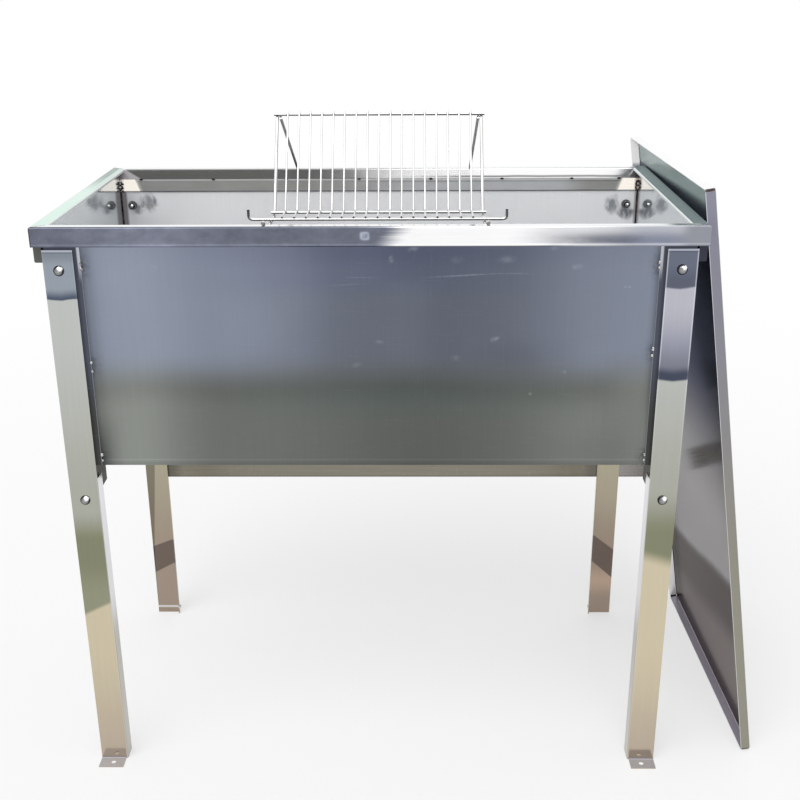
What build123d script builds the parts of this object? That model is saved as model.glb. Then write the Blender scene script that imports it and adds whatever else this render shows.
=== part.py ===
from build123d import *
from math import asin, atan, cos, radians, sin
import os

# Uncapping tank: an open tub of folded stainless sheet on four bolted legs.
# Millimetres. +X runs along the tank to the right, +Y to the rear, +Z up.
# The origin is on the floor, midway between the four foot holes.

# Channel rim round the mouth
rim_length = 1000.0
rim_width = 512.0
rim_height = 958.0
rim_wall_gap = 0.2
rim_end_top = 25.0
rim_face = 30.0
rim_fold = 19.0
rim_strip_drop = 43.0
rim_strip_lap = 4.0
rim_strip_gap = 0.3
rim_end_lip = 5.0
rim_sheet = 1.2
rim_bend = 2.8

# Tub
tub_inset = 13.5
tub_sheet = 1.0
tub_bend = 2.5
tub_bottom = 570.0
wrap_width = 55.0
floor_flange = 18.0
floor_corner = 6.0

# Channels under the end rims
end_rail_height = 26.0
end_rail_sheet = 1.2
end_rail_bend = 2.4

# Legs
leg_flange = 46.0
leg_sheet = 1.5
leg_bend = 3.0
leg_lip = 28.0
leg_rear_lip = 8.0
leg_lip_drop = 24.0
leg_top_gap = 7.0
foot_tab = 25.0
foot_bend = 3.0
foot_hole_radius = 4.25
foot_hole_out = 12.0

# Brackets under the tub
bracket_sheet = 1.5
bracket_plate_drop = 84.0
bracket_gusset_drop = 53.0
bracket_depth = 63.0
bracket_lip_gap = 1.6
bracket_corner_gap = 2.0

# Strip between the rear legs
brace_bottom = 321.5
brace_height = 44.0
brace_flange = 12.0
brace_sheet = 1.2
brace_bend = 2.4
brace_overhang = 64.0

# Leg fasteners
upper_bolt_drop = 68.5
lower_bolt_drop = 61.0
bolt_radius = 4.0
bolt_hole_gap = 0.4
bolt_length = 12.0
bolt_head_radius = 8.0
bolt_head_height = 5.6
bolt_head_edge = 1.4
washer_radius = 8.6
washer_thickness = 1.5
nut_flats = 13.0
nut_hex_height = 6.5
nut_dome_radius = 5.6
nut_bore_depth = 9.0
thread_gap = 0.05

# Wire rest across the mouth
rest_offset = 10.0
rest_arm_radius = 2.5
rest_rail_radius = 2.2
rest_rod_radius = 1.4
rest_rod_pitch = 18.5
rest_rod_count = 17
rest_setback = 106.0
rest_drop = 12.0
rest_shelf_depth = 50.0
rest_back_lean = 34.0
rest_back_length = 172.0
rest_rail_length = 400.0
rest_hook_rise = 16.0
rest_arm_inset = 34.0
rest_arm_bend = 6.0
rest_knee_bend = 4.0
rest_tongue_end = 9.0
rest_wall_gap = 2.0
rest_seat_gap = 0.3
weld_gap = 0.05

# Strainer and its ledges
strainer_clearance = 11.0
strainer_rise = 129.0
strainer_depth = 70.0
strainer_sheet = 1.0
strainer_corner = 10.0
slot_columns = 12
slot_rows = 18
slot_length = 62.0
slot_width = 7.0
slot_margin = 14.0
hand_slot_length = 90.0
hand_slot_height = 24.0
hand_slot_drop = 22.0
ledge_width = 32.0
ledge_height = 25.0
ledge_length = 300.0
ledge_sheet = 1.5
ledge_bend = 3.0
strainer_seat_gap = 0.3

# Outlet and swing gate
outlet_bore = 19.0
outlet_wall = 2.0
outlet_rise = 4.0
outlet_inside = 5.0
outlet_reach = 26.0
outlet_collar = 5.0
outlet_collar_height = 3.0
outlet_fit = 0.1
gate_hub_start = 16.0
gate_hub_radius = 27.0
gate_plate_start = 34.0
gate_plate_thickness = 8.0
gate_face_radius = 29.0
gate_ear_radius = 11.0
gate_ear_offset = 36.0
seal_inner_radius = 21.0
seal_outer_radius = 25.0
seal_depth = 2.0
seal_stand = 0.4
seal_gap = 0.05
gate_run_gap = 0.3
flap_thickness = 5.0
lever_width = 16.0
lever_length = 34.0
pivot_radius = 4.0
pivot_fit = 0.05
pivot_head_radius = 8.0
pivot_head_height = 4.5
stud_radius = 3.0
stud_length = 32.0
stud_slot = 7.5
peen_height = 3.0
peen_margin = 3.0
wing_hub_radius = 7.0
wing_hub_height = 9.0
wing_span = 34.0
wing_height = 13.0
wing_sheet = 3.0
wing_lift = 2.0

# Lid: a shallow tray that leans on the right end of the rim
lid_gap = 7.0
lid_sheet = 1.0
lid_skirt = 16.0
lid_bend = 2.2
lid_notch = 4.0
lid_foot_out = 150.0
lid_near_y = -219.0
lid_rest_gap = 0.5

# Positions that follow from the sizes above
half_length = rim_length / 2
half_width = rim_width / 2
panel_x = half_length - tub_inset
panel_y = half_width - tub_inset
tub_top = rim_height - rim_sheet
rim_top = tub_inset + 2 * tub_sheet + rim_bend + rim_wall_gap
leg_x = panel_x + leg_sheet
leg_y = panel_y + leg_sheet
leg_top = rim_height - rim_face - leg_top_gap
leg_lip_top = tub_bottom - leg_lip_drop
bolt_x = leg_x - leg_flange / 2
upper_bolt_z = rim_height - upper_bolt_drop
lower_bolt_z = tub_bottom - lower_bolt_drop
bolt_hole_radius = bolt_radius + bolt_hole_gap
outlet_z = tub_bottom + tub_sheet + outlet_rise + outlet_bore
outlet_outer = outlet_bore + outlet_wall
corners = [
    ("front_left", -1, -1),
    ("front_right", 1, -1),
    ("rear_left", -1, 1),
    ("rear_right", 1, 1),
]

os.makedirs("parts", exist_ok=True)


def save(block, name):
    block.part.label = name
    export_step(block.part, f"parts/{name}.step")


# Front and rear walls: flat sheets between the wrapped edges of the end panels
wall_mid_y = panel_y - 1.5 * tub_sheet
for name, side in (("front_wall", -1), ("rear_wall", 1)):
    with BuildPart() as wall:
        with BuildSketch(Plane.XZ.offset(-side * wall_mid_y)):
            with Locations((0, (tub_bottom + tub_top) / 2)):
                Rectangle(2 * (panel_x - tub_bend), tub_top - tub_bottom)
            with Locations((-bolt_x, upper_bolt_z), (bolt_x, upper_bolt_z)):
                Circle(bolt_hole_radius, mode=Mode.SUBTRACT)
        extrude(amount=tub_sheet / 2, both=True)
    save(wall, name)

# End panels, folded round on to the front and rear walls; the outlet leaves through the left one
for name, side in (("left_end_panel", -1), ("right_end_panel", 1)):
    fold_x = panel_x - tub_sheet / 2
    fold_y = panel_y - tub_sheet / 2
    edge_x = panel_x - wrap_width
    with BuildPart() as panel:
        with BuildSketch(Plane.XY.offset(tub_bottom)):
            with BuildLine():
                FilletPolyline(
                    (side * edge_x, -fold_y),
                    (side * fold_x, -fold_y),
                    (side * fold_x, fold_y),
                    (side * edge_x, fold_y),
                    radius=tub_bend - tub_sheet / 2,
                )
            trace(line_width=tub_sheet)
        extrude(amount=tub_top - tub_bottom)
        with BuildSketch(Plane.XZ):
            with Locations((side * bolt_x, upper_bolt_z)):
                Circle(bolt_hole_radius)
        extrude(amount=half_width, both=True, mode=Mode.SUBTRACT)
        if side < 0:
            with BuildSketch(Plane.YZ.offset(-half_length)):
                with Locations((0, outlet_z)):
                    Circle(outlet_outer + outlet_fit)
            extrude(amount=2 * tub_inset, mode=Mode.SUBTRACT)
    save(panel, name)

# Floor pan with turned-up edges
pan_x = panel_x - tub_sheet
pan_y = panel_y - 2 * tub_sheet
with BuildPart() as floor_pan:
    with BuildSketch(Plane.XY.offset(tub_bottom)):
        RectangleRounded(2 * pan_x, 2 * pan_y, floor_corner)
    extrude(amount=floor_flange)
    with BuildSketch(Plane.XY.offset(tub_bottom + tub_sheet)):
        RectangleRounded(2 * (pan_x - tub_sheet), 2 * (pan_y - tub_sheet), floor_corner - tub_sheet)
    extrude(amount=floor_flange, mode=Mode.SUBTRACT)
    with BuildSketch(Plane.YZ.offset(-half_length)):
        with Locations((0, outlet_z)):
            Circle(outlet_outer + outlet_fit)
    extrude(amount=2 * tub_inset, mode=Mode.SUBTRACT)
save(floor_pan, "floor_pan")

# Rim: inverted channels over the wall tops, mitred at the corners.
# On the long sides an inner fold and a strip lapped behind it reach the end panels.
# The end rims have only a short lip inside.
for name, along_x, side in (
    ("rim_front", True, -1),
    ("rim_rear", True, 1),
    ("rim_left", False, -1),
    ("rim_right", False, 1),
):
    half_across = half_width if along_x else half_length
    half_run = half_length if along_x else half_width
    flat = rim_top if along_x else rim_end_top
    fold = rim_fold if along_x else rim_end_lip
    outer = side * (half_across - rim_sheet / 2)
    inner = side * (half_across - flat + rim_sheet / 2)
    top = rim_height - rim_sheet / 2
    with BuildPart() as rim:
        with BuildSketch(Plane.YZ if along_x else Plane.XZ):
            with BuildLine():
                FilletPolyline(
                    (outer, rim_height - rim_face),
                    (outer, top),
                    (inner, top),
                    (inner, rim_height - fold),
                    radius=rim_bend - rim_sheet / 2,
                )
            trace(line_width=rim_sheet)
        extrude(amount=half_run, both=True)
        for end in (-1, 1):
            end_x, end_y = (end, side) if along_x else (side, end)
            keep = 1 if along_x else -1
            toward = (-keep * end_x * rim_top, keep * end_y * rim_end_top, 0)
            corner = (end_x * half_length, end_y * half_width, 0)
            split(bisect_by=Plane(origin=corner, z_dir=toward), keep=Keep.TOP)
        if along_x:
            strip_top = rim_height - rim_fold + rim_strip_lap
            strip_bottom = rim_height - rim_strip_drop
            fold_top = rim_height - rim_end_lip - rim_strip_gap
            fold_bottom = rim_height - rim_fold
            with BuildSketch(Plane.YZ):
                with Locations((inner, (fold_top + fold_bottom) / 2)):
                    Rectangle(rim_sheet, fold_top - fold_bottom)
                with Locations((inner + side * rim_sheet, (strip_top + strip_bottom) / 2)):
                    Rectangle(rim_sheet, strip_top - strip_bottom)
            extrude(amount=panel_x - tub_sheet - rim_strip_gap, both=True)
    save(rim, name)

# Channels hung under the end rims, open towards the tub and closed at both ends
for name, side in (("end_rail_left", -1), ("end_rail_right", 1)):
    rail_top = rim_height - rim_face - end_rail_sheet / 2
    rail_bottom = rim_height - rim_face - end_rail_height + end_rail_sheet / 2
    rail_web = side * (half_length - end_rail_sheet / 2)
    with BuildPart() as end_rail:
        with BuildSketch(Plane.XZ):
            with BuildLine():
                FilletPolyline(
                    (side * leg_x, rail_top),
                    (rail_web, rail_top),
                    (rail_web, rail_bottom),
                    (side * leg_x, rail_bottom),
                    radius=end_rail_bend - end_rail_sheet / 2,
                )
            trace(line_width=end_rail_sheet)
        extrude(amount=leg_y, both=True)
        for way in (-1, 1):
            with BuildSketch(Plane.XZ.offset(way * (leg_y - end_rail_sheet / 2))):
                with Locations(((side * leg_x + rail_web) / 2, (rail_top + rail_bottom) / 2)):
                    Rectangle(abs(rail_web - side * leg_x), rail_top - rail_bottom)
            extrude(amount=end_rail_sheet / 2, both=True)
    save(end_rail, name)

# Legs: flat straps bolted to the tub, with a lip along the inner edge below it and a foot tab bent outward
for name, sx, sy in corners:
    mid = leg_sheet / 2
    fold_y = leg_y - mid
    edge_x = leg_x - leg_flange
    lip = leg_lip if sy < 0 else leg_rear_lip
    with BuildPart() as leg:
        with BuildSketch():
            with BuildLine():
                FilletPolyline(
                    (sx * (edge_x + mid), sy * (leg_y - lip)),
                    (sx * (edge_x + mid), sy * fold_y),
                    (sx * leg_x, sy * fold_y),
                    radius=leg_bend - mid,
                )
            trace(line_width=leg_sheet)
        extrude(amount=leg_lip_top)
        with BuildSketch(Plane.XY.offset(leg_lip_top)):
            with Locations((sx * bolt_x, sy * fold_y)):
                Rectangle(leg_flange, leg_sheet)
        extrude(amount=leg_top - leg_lip_top)
        with BuildSketch(Plane.YZ.offset(sx * (edge_x + leg_bend))):
            with BuildLine():
                Polyline(
                    (sy * (leg_y + foot_bend), leg_sheet),
                    (sy * (leg_y + foot_tab), leg_sheet),
                    (sy * (leg_y + foot_tab), 0),
                    (sy * (leg_y - leg_sheet), 0),
                    (sy * (leg_y - leg_sheet), leg_sheet + foot_bend),
                    (sy * leg_y, leg_sheet + foot_bend),
                )
                RadiusArc(
                    (sy * leg_y, leg_sheet + foot_bend),
                    (sy * (leg_y + foot_bend), leg_sheet),
                    -sy * foot_bend,
                )
            make_face()
        extrude(amount=sx * (leg_flange - leg_bend))
        with BuildSketch():
            with Locations((sx * bolt_x, sy * (leg_y + foot_hole_out))):
                Circle(foot_hole_radius)
        extrude(amount=2 * leg_sheet, mode=Mode.SUBTRACT)
        with BuildSketch(Plane.XZ.offset(-sy * leg_y)):
            with Locations((sx * bolt_x, upper_bolt_z), (sx * bolt_x, lower_bolt_z)):
                Circle(bolt_hole_radius)
        extrude(amount=2 * leg_sheet, both=True, mode=Mode.SUBTRACT)
    save(leg, f"leg_{name}")

# Brackets under the tub, one behind each leg
for name, sx, sy in corners:
    inner_x = leg_x - leg_flange + leg_sheet + bracket_lip_gap
    outer_x = panel_x - bracket_corner_gap
    plate_y = panel_y - bracket_sheet / 2
    back_y = panel_y - bracket_depth
    with BuildPart() as bracket:
        with BuildSketch(Plane.XY.offset(tub_bottom)):
            with Locations((sx * (inner_x + outer_x) / 2, sy * plate_y)):
                Rectangle(outer_x - inner_x, bracket_sheet)
        extrude(amount=-bracket_plate_drop)
        with BuildSketch(Plane.XY.offset(tub_bottom)):
            with Locations((sx * (inner_x + bracket_sheet / 2), sy * (panel_y + back_y) / 2)):
                Rectangle(bracket_sheet, bracket_depth)
        extrude(amount=-bracket_gusset_drop)
        with BuildSketch(Plane.XY.offset(tub_bottom)):
            with Locations((sx * (inner_x + outer_x) / 2, sy * (panel_y + back_y) / 2)):
                Rectangle(outer_x - inner_x, bracket_depth)
        extrude(amount=-bracket_sheet)
        with BuildSketch(Plane.XZ.offset(-sy * panel_y)):
            with Locations((sx * bolt_x, lower_bolt_z)):
                Circle(bolt_hole_radius)
        extrude(amount=2 * bracket_sheet, both=True, mode=Mode.SUBTRACT)
    save(bracket, f"leg_bracket_{name}")

# Folded strip across the backs of the rear legs, running on past the right one
with BuildPart() as rear_brace:
    with BuildSketch(Plane.YZ.offset(-leg_x)):
        with BuildLine():
            FilletPolyline(
                (leg_y + brace_flange, brace_bottom + brace_height - brace_sheet / 2),
                (leg_y + brace_sheet / 2, brace_bottom + brace_height - brace_sheet / 2),
                (leg_y + brace_sheet / 2, brace_bottom + brace_sheet / 2),
                (leg_y + brace_flange, brace_bottom + brace_sheet / 2),
                radius=brace_bend - brace_sheet / 2,
            )
        trace(line_width=brace_sheet)
    extrude(amount=2 * leg_x + brace_overhang)
save(rear_brace, "rear_brace")

# Leg fasteners, each made once about +Z with its bearing face at zero
with BuildPart() as bolt:
    with BuildSketch(Plane.XZ):
        with BuildLine():
            Polyline(
                (0, bolt_head_height),
                (0, -bolt_length),
                (bolt_radius, -bolt_length),
                (bolt_radius, 0),
                (bolt_head_radius, 0),
                (bolt_head_radius, bolt_head_edge),
            )
            dome_rise = bolt_head_height - bolt_head_edge
            dome_radius = (bolt_head_radius**2 + dome_rise**2) / (2 * dome_rise)
            RadiusArc((bolt_head_radius, bolt_head_edge), (0, bolt_head_height), -dome_radius)
        make_face()
    revolve(axis=Axis.Z)

with BuildPart() as washer:
    with BuildSketch():
        Circle(washer_radius)
        Circle(bolt_hole_radius, mode=Mode.SUBTRACT)
    extrude(amount=-washer_thickness)

with BuildPart() as cap_nut:
    with BuildSketch():
        RegularPolygon(nut_flats / 2, 6, major_radius=False)
    extrude(amount=-nut_hex_height)
    with Locations((0, 0, -nut_hex_height)):
        Sphere(nut_dome_radius)
    with BuildSketch():
        Circle(bolt_radius + thread_gap)
    extrude(amount=-nut_bore_depth, mode=Mode.SUBTRACT)

# Bolt heads face outward, so +Z turns to -Y at the front and to +Y at the rear
head_spots = []
washer_spots = []
nut_spots = []
for name, sx, sy in corners:
    turn = (90 * -sy, 0, 0)
    for bolt_z, face_y in (
        (upper_bolt_z, panel_y - 2 * tub_sheet),
        (lower_bolt_z, panel_y - bracket_sheet),
    ):
        head_spots.append(Location((sx * bolt_x, sy * leg_y, bolt_z), turn))
        washer_spots.append(Location((sx * bolt_x, sy * face_y, bolt_z), turn))
        nut_spots.append(Location((sx * bolt_x, sy * (face_y - washer_thickness), bolt_z), turn))

for name, one, spots in (
    ("leg_bolts", bolt, head_spots),
    ("leg_washers", washer, washer_spots),
    ("leg_cap_nuts", cap_nut, nut_spots),
):
    with BuildPart() as group:
        with Locations(*spots):
            add(one.part)
    save(group, name)

# Wire rest: a shelf of rods with a leaning back, carried to both rims by two bent arms and two stays
lean_sin = sin(radians(rest_back_lean))
lean_cos = cos(radians(rest_back_lean))
rail_y = rest_setback - half_width
rail_z = rim_height - rest_drop
rail_step = rest_rod_radius + rest_rail_radius + weld_gap
arm_step = rail_step + rest_rail_radius + rest_arm_radius + weld_gap
knee_y = rail_y + rest_shelf_depth
rod_z = rail_z + rail_step
rod_xs = [rest_offset + rest_rod_pitch * (i - (rest_rod_count - 1) / 2) for i in range(rest_rod_count)]
arm_half_span = rest_rail_length / 2 - rest_arm_inset
seat_z = rim_height + rest_arm_radius + rest_seat_gap
arm_wall_y = half_width - rim_top - rest_arm_radius - rest_wall_gap
mitre = Plane(origin=(0, knee_y, rod_z), z_dir=(0, 1 + lean_sin, lean_cos))


def behind_back(step, run):
    # Point on the line that lies a step behind the rods, a run up the slope from the knee
    corner_y = knee_y + step * (1 - lean_sin) / lean_cos
    return (corner_y + run * lean_sin, rod_z - step + run * lean_cos)


with BuildPart() as rest_front_rail:
    with BuildLine(Plane.XZ.offset(-rail_y)) as path:
        FilletPolyline(
            (rest_offset - rest_rail_length / 2, rail_z + rest_hook_rise),
            (rest_offset - rest_rail_length / 2, rail_z),
            (rest_offset + rest_rail_length / 2, rail_z),
            (rest_offset + rest_rail_length / 2, rail_z + rest_hook_rise),
            radius=rest_arm_bend,
        )
    with BuildSketch(Plane(origin=path.line @ 0, z_dir=path.line % 0)):
        Circle(rest_rail_radius)
    sweep(path=path.line)
save(rest_front_rail, "rest_front_rail")

for name, run in (("rest_knee_rail", 0), ("rest_top_rail", rest_back_length - rest_rail_radius)):
    with BuildPart() as rail:
        with BuildSketch(Plane.YZ.offset(rest_offset)):
            with Locations(behind_back(rail_step, run)):
                Circle(rest_rail_radius)
        extrude(amount=arm_half_span + 2 * rest_arm_radius, both=True)
    save(rail, name)

with BuildPart() as rest_shelf_rods:
    with BuildSketch(Plane.XZ.offset(rest_rail_radius - rail_y)):
        with Locations(*[(x, rod_z) for x in rod_xs]):
            Circle(rest_rod_radius)
    extrude(amount=-2 * rest_shelf_depth)
    split(bisect_by=mitre, keep=Keep.BOTTOM)
save(rest_shelf_rods, "rest_shelf_rods")

with BuildPart() as rest_back_rods:
    with BuildSketch(Plane(origin=(0, knee_y, rod_z), x_dir=(1, 0, 0), z_dir=(0, lean_sin, lean_cos))):
        with Locations(*[(x, 0) for x in rod_xs]):
            Circle(rest_rod_radius)
    extrude(amount=rest_back_length)
    extrude(rest_back_rods.faces().sort_by(Axis.Z)[:rest_rod_count], amount=4 * rest_rod_radius)
    split(bisect_by=mitre, keep=Keep.TOP)
save(rest_back_rods, "rest_back_rods")

for name, side in (("rest_left_arm", -1), ("rest_right_arm", 1)):
    with BuildPart() as arm:
        with BuildLine(Plane.YZ.offset(rest_offset + side * arm_half_span)) as path:
            FilletPolyline(
                (rest_tongue_end - half_width, seat_z),
                (-arm_wall_y, seat_z),
                (-arm_wall_y, rod_z - arm_step),
                behind_back(arm_step, 0),
                behind_back(arm_step, rest_back_length),
                radius=(rest_arm_bend, rest_arm_bend, rest_knee_bend),
            )
        with BuildSketch(Plane(origin=path.line @ 0, z_dir=path.line % 0)):
            Circle(rest_arm_radius)
        sweep(path=path.line)
    save(arm, name)

for name, side in (("rest_left_stay", -1), ("rest_right_stay", 1)):
    stay_x = rest_offset + side * (arm_half_span - 2 * rest_arm_radius - weld_gap)
    with BuildPart() as stay:
        with BuildLine(Plane.YZ.offset(stay_x)) as path:
            FilletPolyline(
                behind_back(arm_step, rest_back_length - rest_arm_radius),
                (arm_wall_y + 2 * rest_arm_radius, seat_z),
                (half_width - rest_tongue_end, seat_z),
                radius=rest_arm_bend,
            )
        with BuildSketch(Plane(origin=path.line @ 0, z_dir=path.line % 0)):
            Circle(rest_arm_radius)
        sweep(path=path.line)
    save(stay, name)

# Strainer: a slotted plate welded into the foot of a folded frame, lifted out through the mouth
tray_x = half_length - rim_end_top - strainer_clearance
tray_y = half_width - rim_top - strainer_clearance
tray_z = tub_bottom + strainer_rise
with BuildPart() as strainer_frame:
    with BuildSketch(Plane.XY.offset(tray_z)):
        RectangleRounded(2 * tray_x, 2 * tray_y, strainer_corner)
        RectangleRounded(
            2 * (tray_x - strainer_sheet),
            2 * (tray_y - strainer_sheet),
            strainer_corner - strainer_sheet,
            mode=Mode.SUBTRACT,
        )
    extrude(amount=strainer_depth)
    with BuildSketch(Plane.YZ):
        with Locations((0, tray_z + strainer_depth - hand_slot_drop)):
            SlotOverall(hand_slot_length, hand_slot_height)
    extrude(amount=half_length, both=True, mode=Mode.SUBTRACT)
save(strainer_frame, "strainer_frame")

plate_x = tray_x - strainer_sheet - weld_gap
plate_y = tray_y - strainer_sheet - weld_gap
with BuildPart() as strainer_plate:
    with BuildSketch(Plane.XY.offset(tray_z)):
        RectangleRounded(2 * plate_x, 2 * plate_y, strainer_corner - strainer_sheet - weld_gap)
        column_pitch = 2 * (plate_x - slot_margin) / slot_columns
        row_pitch = 2 * (plate_y - slot_margin) / slot_rows
        with GridLocations(column_pitch, row_pitch, slot_columns, slot_rows):
            Rectangle(slot_length, slot_width, mode=Mode.SUBTRACT)
    extrude(amount=strainer_sheet)
save(strainer_plate, "strainer_plate")

# Angles on the end panels that carry the strainer
for name, side in (("strainer_ledge_left", -1), ("strainer_ledge_right", 1)):
    wall_x = panel_x - tub_sheet
    ledge_top = tray_z - strainer_seat_gap
    with BuildPart() as ledge:
        with BuildSketch(Plane.XZ):
            with BuildLine():
                FilletPolyline(
                    (side * (wall_x - ledge_width), ledge_top - ledge_sheet / 2),
                    (side * (wall_x - ledge_sheet / 2), ledge_top - ledge_sheet / 2),
                    (side * (wall_x - ledge_sheet / 2), ledge_top - ledge_height),
                    radius=ledge_bend - ledge_sheet / 2,
                )
            trace(line_width=ledge_sheet)
        extrude(amount=ledge_length / 2, both=True)
    save(ledge, name)

# Outlet and gate, drawn looking at the left end: depth runs outward from the end panel
gate = Plane(origin=(-panel_x, 0, outlet_z), x_dir=(0, -1, 0), z_dir=(-1, 0, 0))
gate_face = gate_plate_start + gate_plate_thickness
flap_back = gate_face + seal_stand + gate_run_gap
flap_front = flap_back + flap_thickness
head_back = flap_front + gate_run_gap
swing_radius = 2 * gate_ear_offset

with BuildPart() as outlet_pipe:
    with BuildSketch(gate.offset(-outlet_inside)):
        Circle(outlet_outer)
    extrude(amount=outlet_inside + outlet_reach)
    with BuildSketch(gate):
        Circle(outlet_outer + outlet_collar)
    extrude(amount=outlet_collar_height, taper=40)
    with BuildSketch(gate.offset(-outlet_inside)):
        Circle(outlet_bore)
    extrude(amount=outlet_inside + outlet_reach, mode=Mode.SUBTRACT)
save(outlet_pipe, "outlet_pipe")

with BuildPart() as gate_body:
    with BuildSketch(gate.offset(gate_hub_start)):
        Circle(gate_hub_radius)
    extrude(amount=gate_plate_start - gate_hub_start)
    with BuildSketch(gate.offset(gate_plate_start)):
        Circle(gate_face_radius)
        with Locations((0, gate_ear_offset), (0, -gate_ear_offset)):
            Circle(gate_ear_radius)
        make_hull()
    extrude(amount=gate_plate_thickness)
    with BuildSketch(gate.offset(gate_hub_start)):
        Circle(outlet_outer + outlet_fit)
    extrude(amount=outlet_reach - gate_hub_start, mode=Mode.SUBTRACT)
    with BuildSketch(gate.offset(outlet_reach)):
        Circle(outlet_bore)
    extrude(amount=gate_face - outlet_reach, mode=Mode.SUBTRACT)
    with BuildSketch(gate.offset(gate_face)):
        Circle(seal_outer_radius)
        Circle(seal_inner_radius, mode=Mode.SUBTRACT)
    extrude(amount=-seal_depth, mode=Mode.SUBTRACT)
    with BuildSketch(gate.offset(gate_plate_start)):
        with Locations((0, gate_ear_offset)):
            Circle(pivot_radius + pivot_fit)
        with Locations((0, -gate_ear_offset)):
            Circle(stud_radius + thread_gap)
    extrude(amount=gate_plate_thickness, mode=Mode.SUBTRACT)
save(gate_body, "gate_body")

with BuildPart() as gate_seal:
    with BuildSketch(gate.offset(gate_face - seal_depth)):
        Circle(seal_outer_radius - seal_gap)
        Circle(seal_inner_radius + seal_gap, mode=Mode.SUBTRACT)
    extrude(amount=seal_depth + seal_stand)
save(gate_seal, "gate_seal")

with BuildPart() as gate_flap:
    with BuildSketch(gate.offset(flap_back)):
        Circle(gate_face_radius)
        with Locations((0, gate_ear_offset), (0, -gate_ear_offset)):
            Circle(gate_ear_radius)
        make_hull()
        with Locations((0, -gate_ear_offset - lever_length / 2)):
            RectangleRounded(lever_width, lever_length, lever_width / 2.5)
        with Locations((0, gate_ear_offset)):
            Circle(pivot_radius + pivot_fit, mode=Mode.SUBTRACT)
    extrude(amount=flap_thickness)
    # The slot for the stud follows its arc about the pivot and is open on the side it leaves by
    with BuildSketch(gate.offset(flap_back)):
        with Locations((0, gate_ear_offset)):
            Circle(swing_radius + stud_slot / 2)
            Circle(swing_radius - stud_slot / 2, mode=Mode.SUBTRACT)
            with Locations((-swing_radius, 0)):
                Rectangle(2 * swing_radius, 4 * swing_radius, mode=Mode.SUBTRACT)
        with Locations((0, -gate_ear_offset)):
            Circle(stud_slot / 2)
    extrude(amount=flap_thickness, mode=Mode.SUBTRACT)
save(gate_flap, "gate_flap")

with BuildPart() as gate_pivot_bolt:
    with BuildSketch(gate.offset(gate_plate_start - peen_height)):
        with Locations((0, gate_ear_offset)):
            Circle(pivot_radius + peen_margin)
    extrude(amount=peen_height)
    with BuildSketch(gate.offset(gate_plate_start)):
        with Locations((0, gate_ear_offset)):
            Circle(pivot_radius)
    extrude(amount=head_back - gate_plate_start)
    with BuildSketch(gate.offset(head_back)):
        with Locations((0, gate_ear_offset)):
            RegularPolygon(pivot_head_radius, 6)
    extrude(amount=pivot_head_height)
save(gate_pivot_bolt, "gate_pivot_bolt")

with BuildPart() as gate_stud:
    with BuildSketch(gate.offset(gate_plate_start - peen_height)):
        with Locations((0, -gate_ear_offset)):
            Circle(stud_radius + peen_margin)
    extrude(amount=peen_height)
    with BuildSketch(gate.offset(gate_plate_start)):
        with Locations((0, -gate_ear_offset)):
            Circle(stud_radius)
    extrude(amount=stud_length)
save(gate_stud, "gate_stud")

with BuildPart() as gate_wing_nut:
    with BuildSketch(gate.offset(head_back)):
        with Locations((0, -gate_ear_offset)):
            Circle(wing_hub_radius)
    extrude(amount=wing_hub_height, taper=6)
    with BuildSketch(gate.offset(head_back + wing_lift)):
        with Locations((0, -gate_ear_offset)):
            Rectangle(wing_span, wing_sheet)
    extrude(amount=wing_height)
    with BuildSketch(gate.offset(head_back + wing_hub_height)):
        with Locations((0, -gate_ear_offset)):
            Rectangle(2 * (wing_hub_radius - wing_lift), 2 * wing_sheet)
    extrude(amount=wing_height, mode=Mode.SUBTRACT)
    with BuildSketch(gate.offset(head_back)):
        with Locations((0, -gate_ear_offset)):
            Circle(stud_radius + thread_gap)
    extrude(amount=wing_hub_height + wing_height, mode=Mode.SUBTRACT)
save(gate_wing_nut, "gate_wing_nut")

# Lid: a folded tray with open corners, standing on its lower skirt with the hollow side to the tank.
# Its near skirt leans on the end rim and its sheet is turned until it meets the rear corner of the rim.
lid_length = rim_length + 2 * (lid_gap + lid_sheet)
lid_width = rim_width + 2 * (lid_gap + lid_sheet)
lid_lean = atan((lid_foot_out - lid_rest_gap) / rim_height)
lid_room = lid_rest_gap + (lid_skirt - lid_sheet - lid_rest_gap) / cos(lid_lean)
lid_turn = asin(lid_room / (half_width - lid_near_y))
lid_up = (-sin(lid_lean) * cos(lid_turn), -sin(lid_lean) * sin(lid_turn), cos(lid_lean))
lid_in = (-cos(lid_lean) * cos(lid_turn), -cos(lid_lean) * sin(lid_turn), -sin(lid_lean))
lid_foot = Vector(half_length + lid_foot_out, lid_near_y, 0)
lid_plane = Plane(origin=lid_foot - Vector(*lid_in) * lid_skirt, x_dir=lid_up, z_dir=lid_in)
side_plane = Plane(
    origin=lid_plane.from_local_coords((lid_notch, 0, 0)),
    x_dir=lid_plane.y_dir,
    z_dir=lid_plane.x_dir,
)
end_plane = Plane(
    origin=lid_plane.from_local_coords((0, lid_width - lid_notch, 0)),
    x_dir=lid_plane.x_dir,
    z_dir=-lid_plane.y_dir,
)
with BuildPart() as lid:
    for profile, across, along in (
        (side_plane, lid_width, lid_length),
        (end_plane, lid_length, lid_width),
    ):
        with BuildSketch(profile):
            with BuildLine():
                FilletPolyline(
                    (lid_sheet / 2, lid_skirt),
                    (lid_sheet / 2, lid_sheet / 2),
                    (across - lid_sheet / 2, lid_sheet / 2),
                    (across - lid_sheet / 2, lid_skirt),
                    radius=lid_bend - lid_sheet / 2,
                )
            trace(line_width=lid_sheet)
        extrude(amount=along - 2 * lid_notch)
save(lid, "lid")
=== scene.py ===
import math

import bmesh
import bpy
from mathutils import Matrix, Vector, noise


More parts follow.
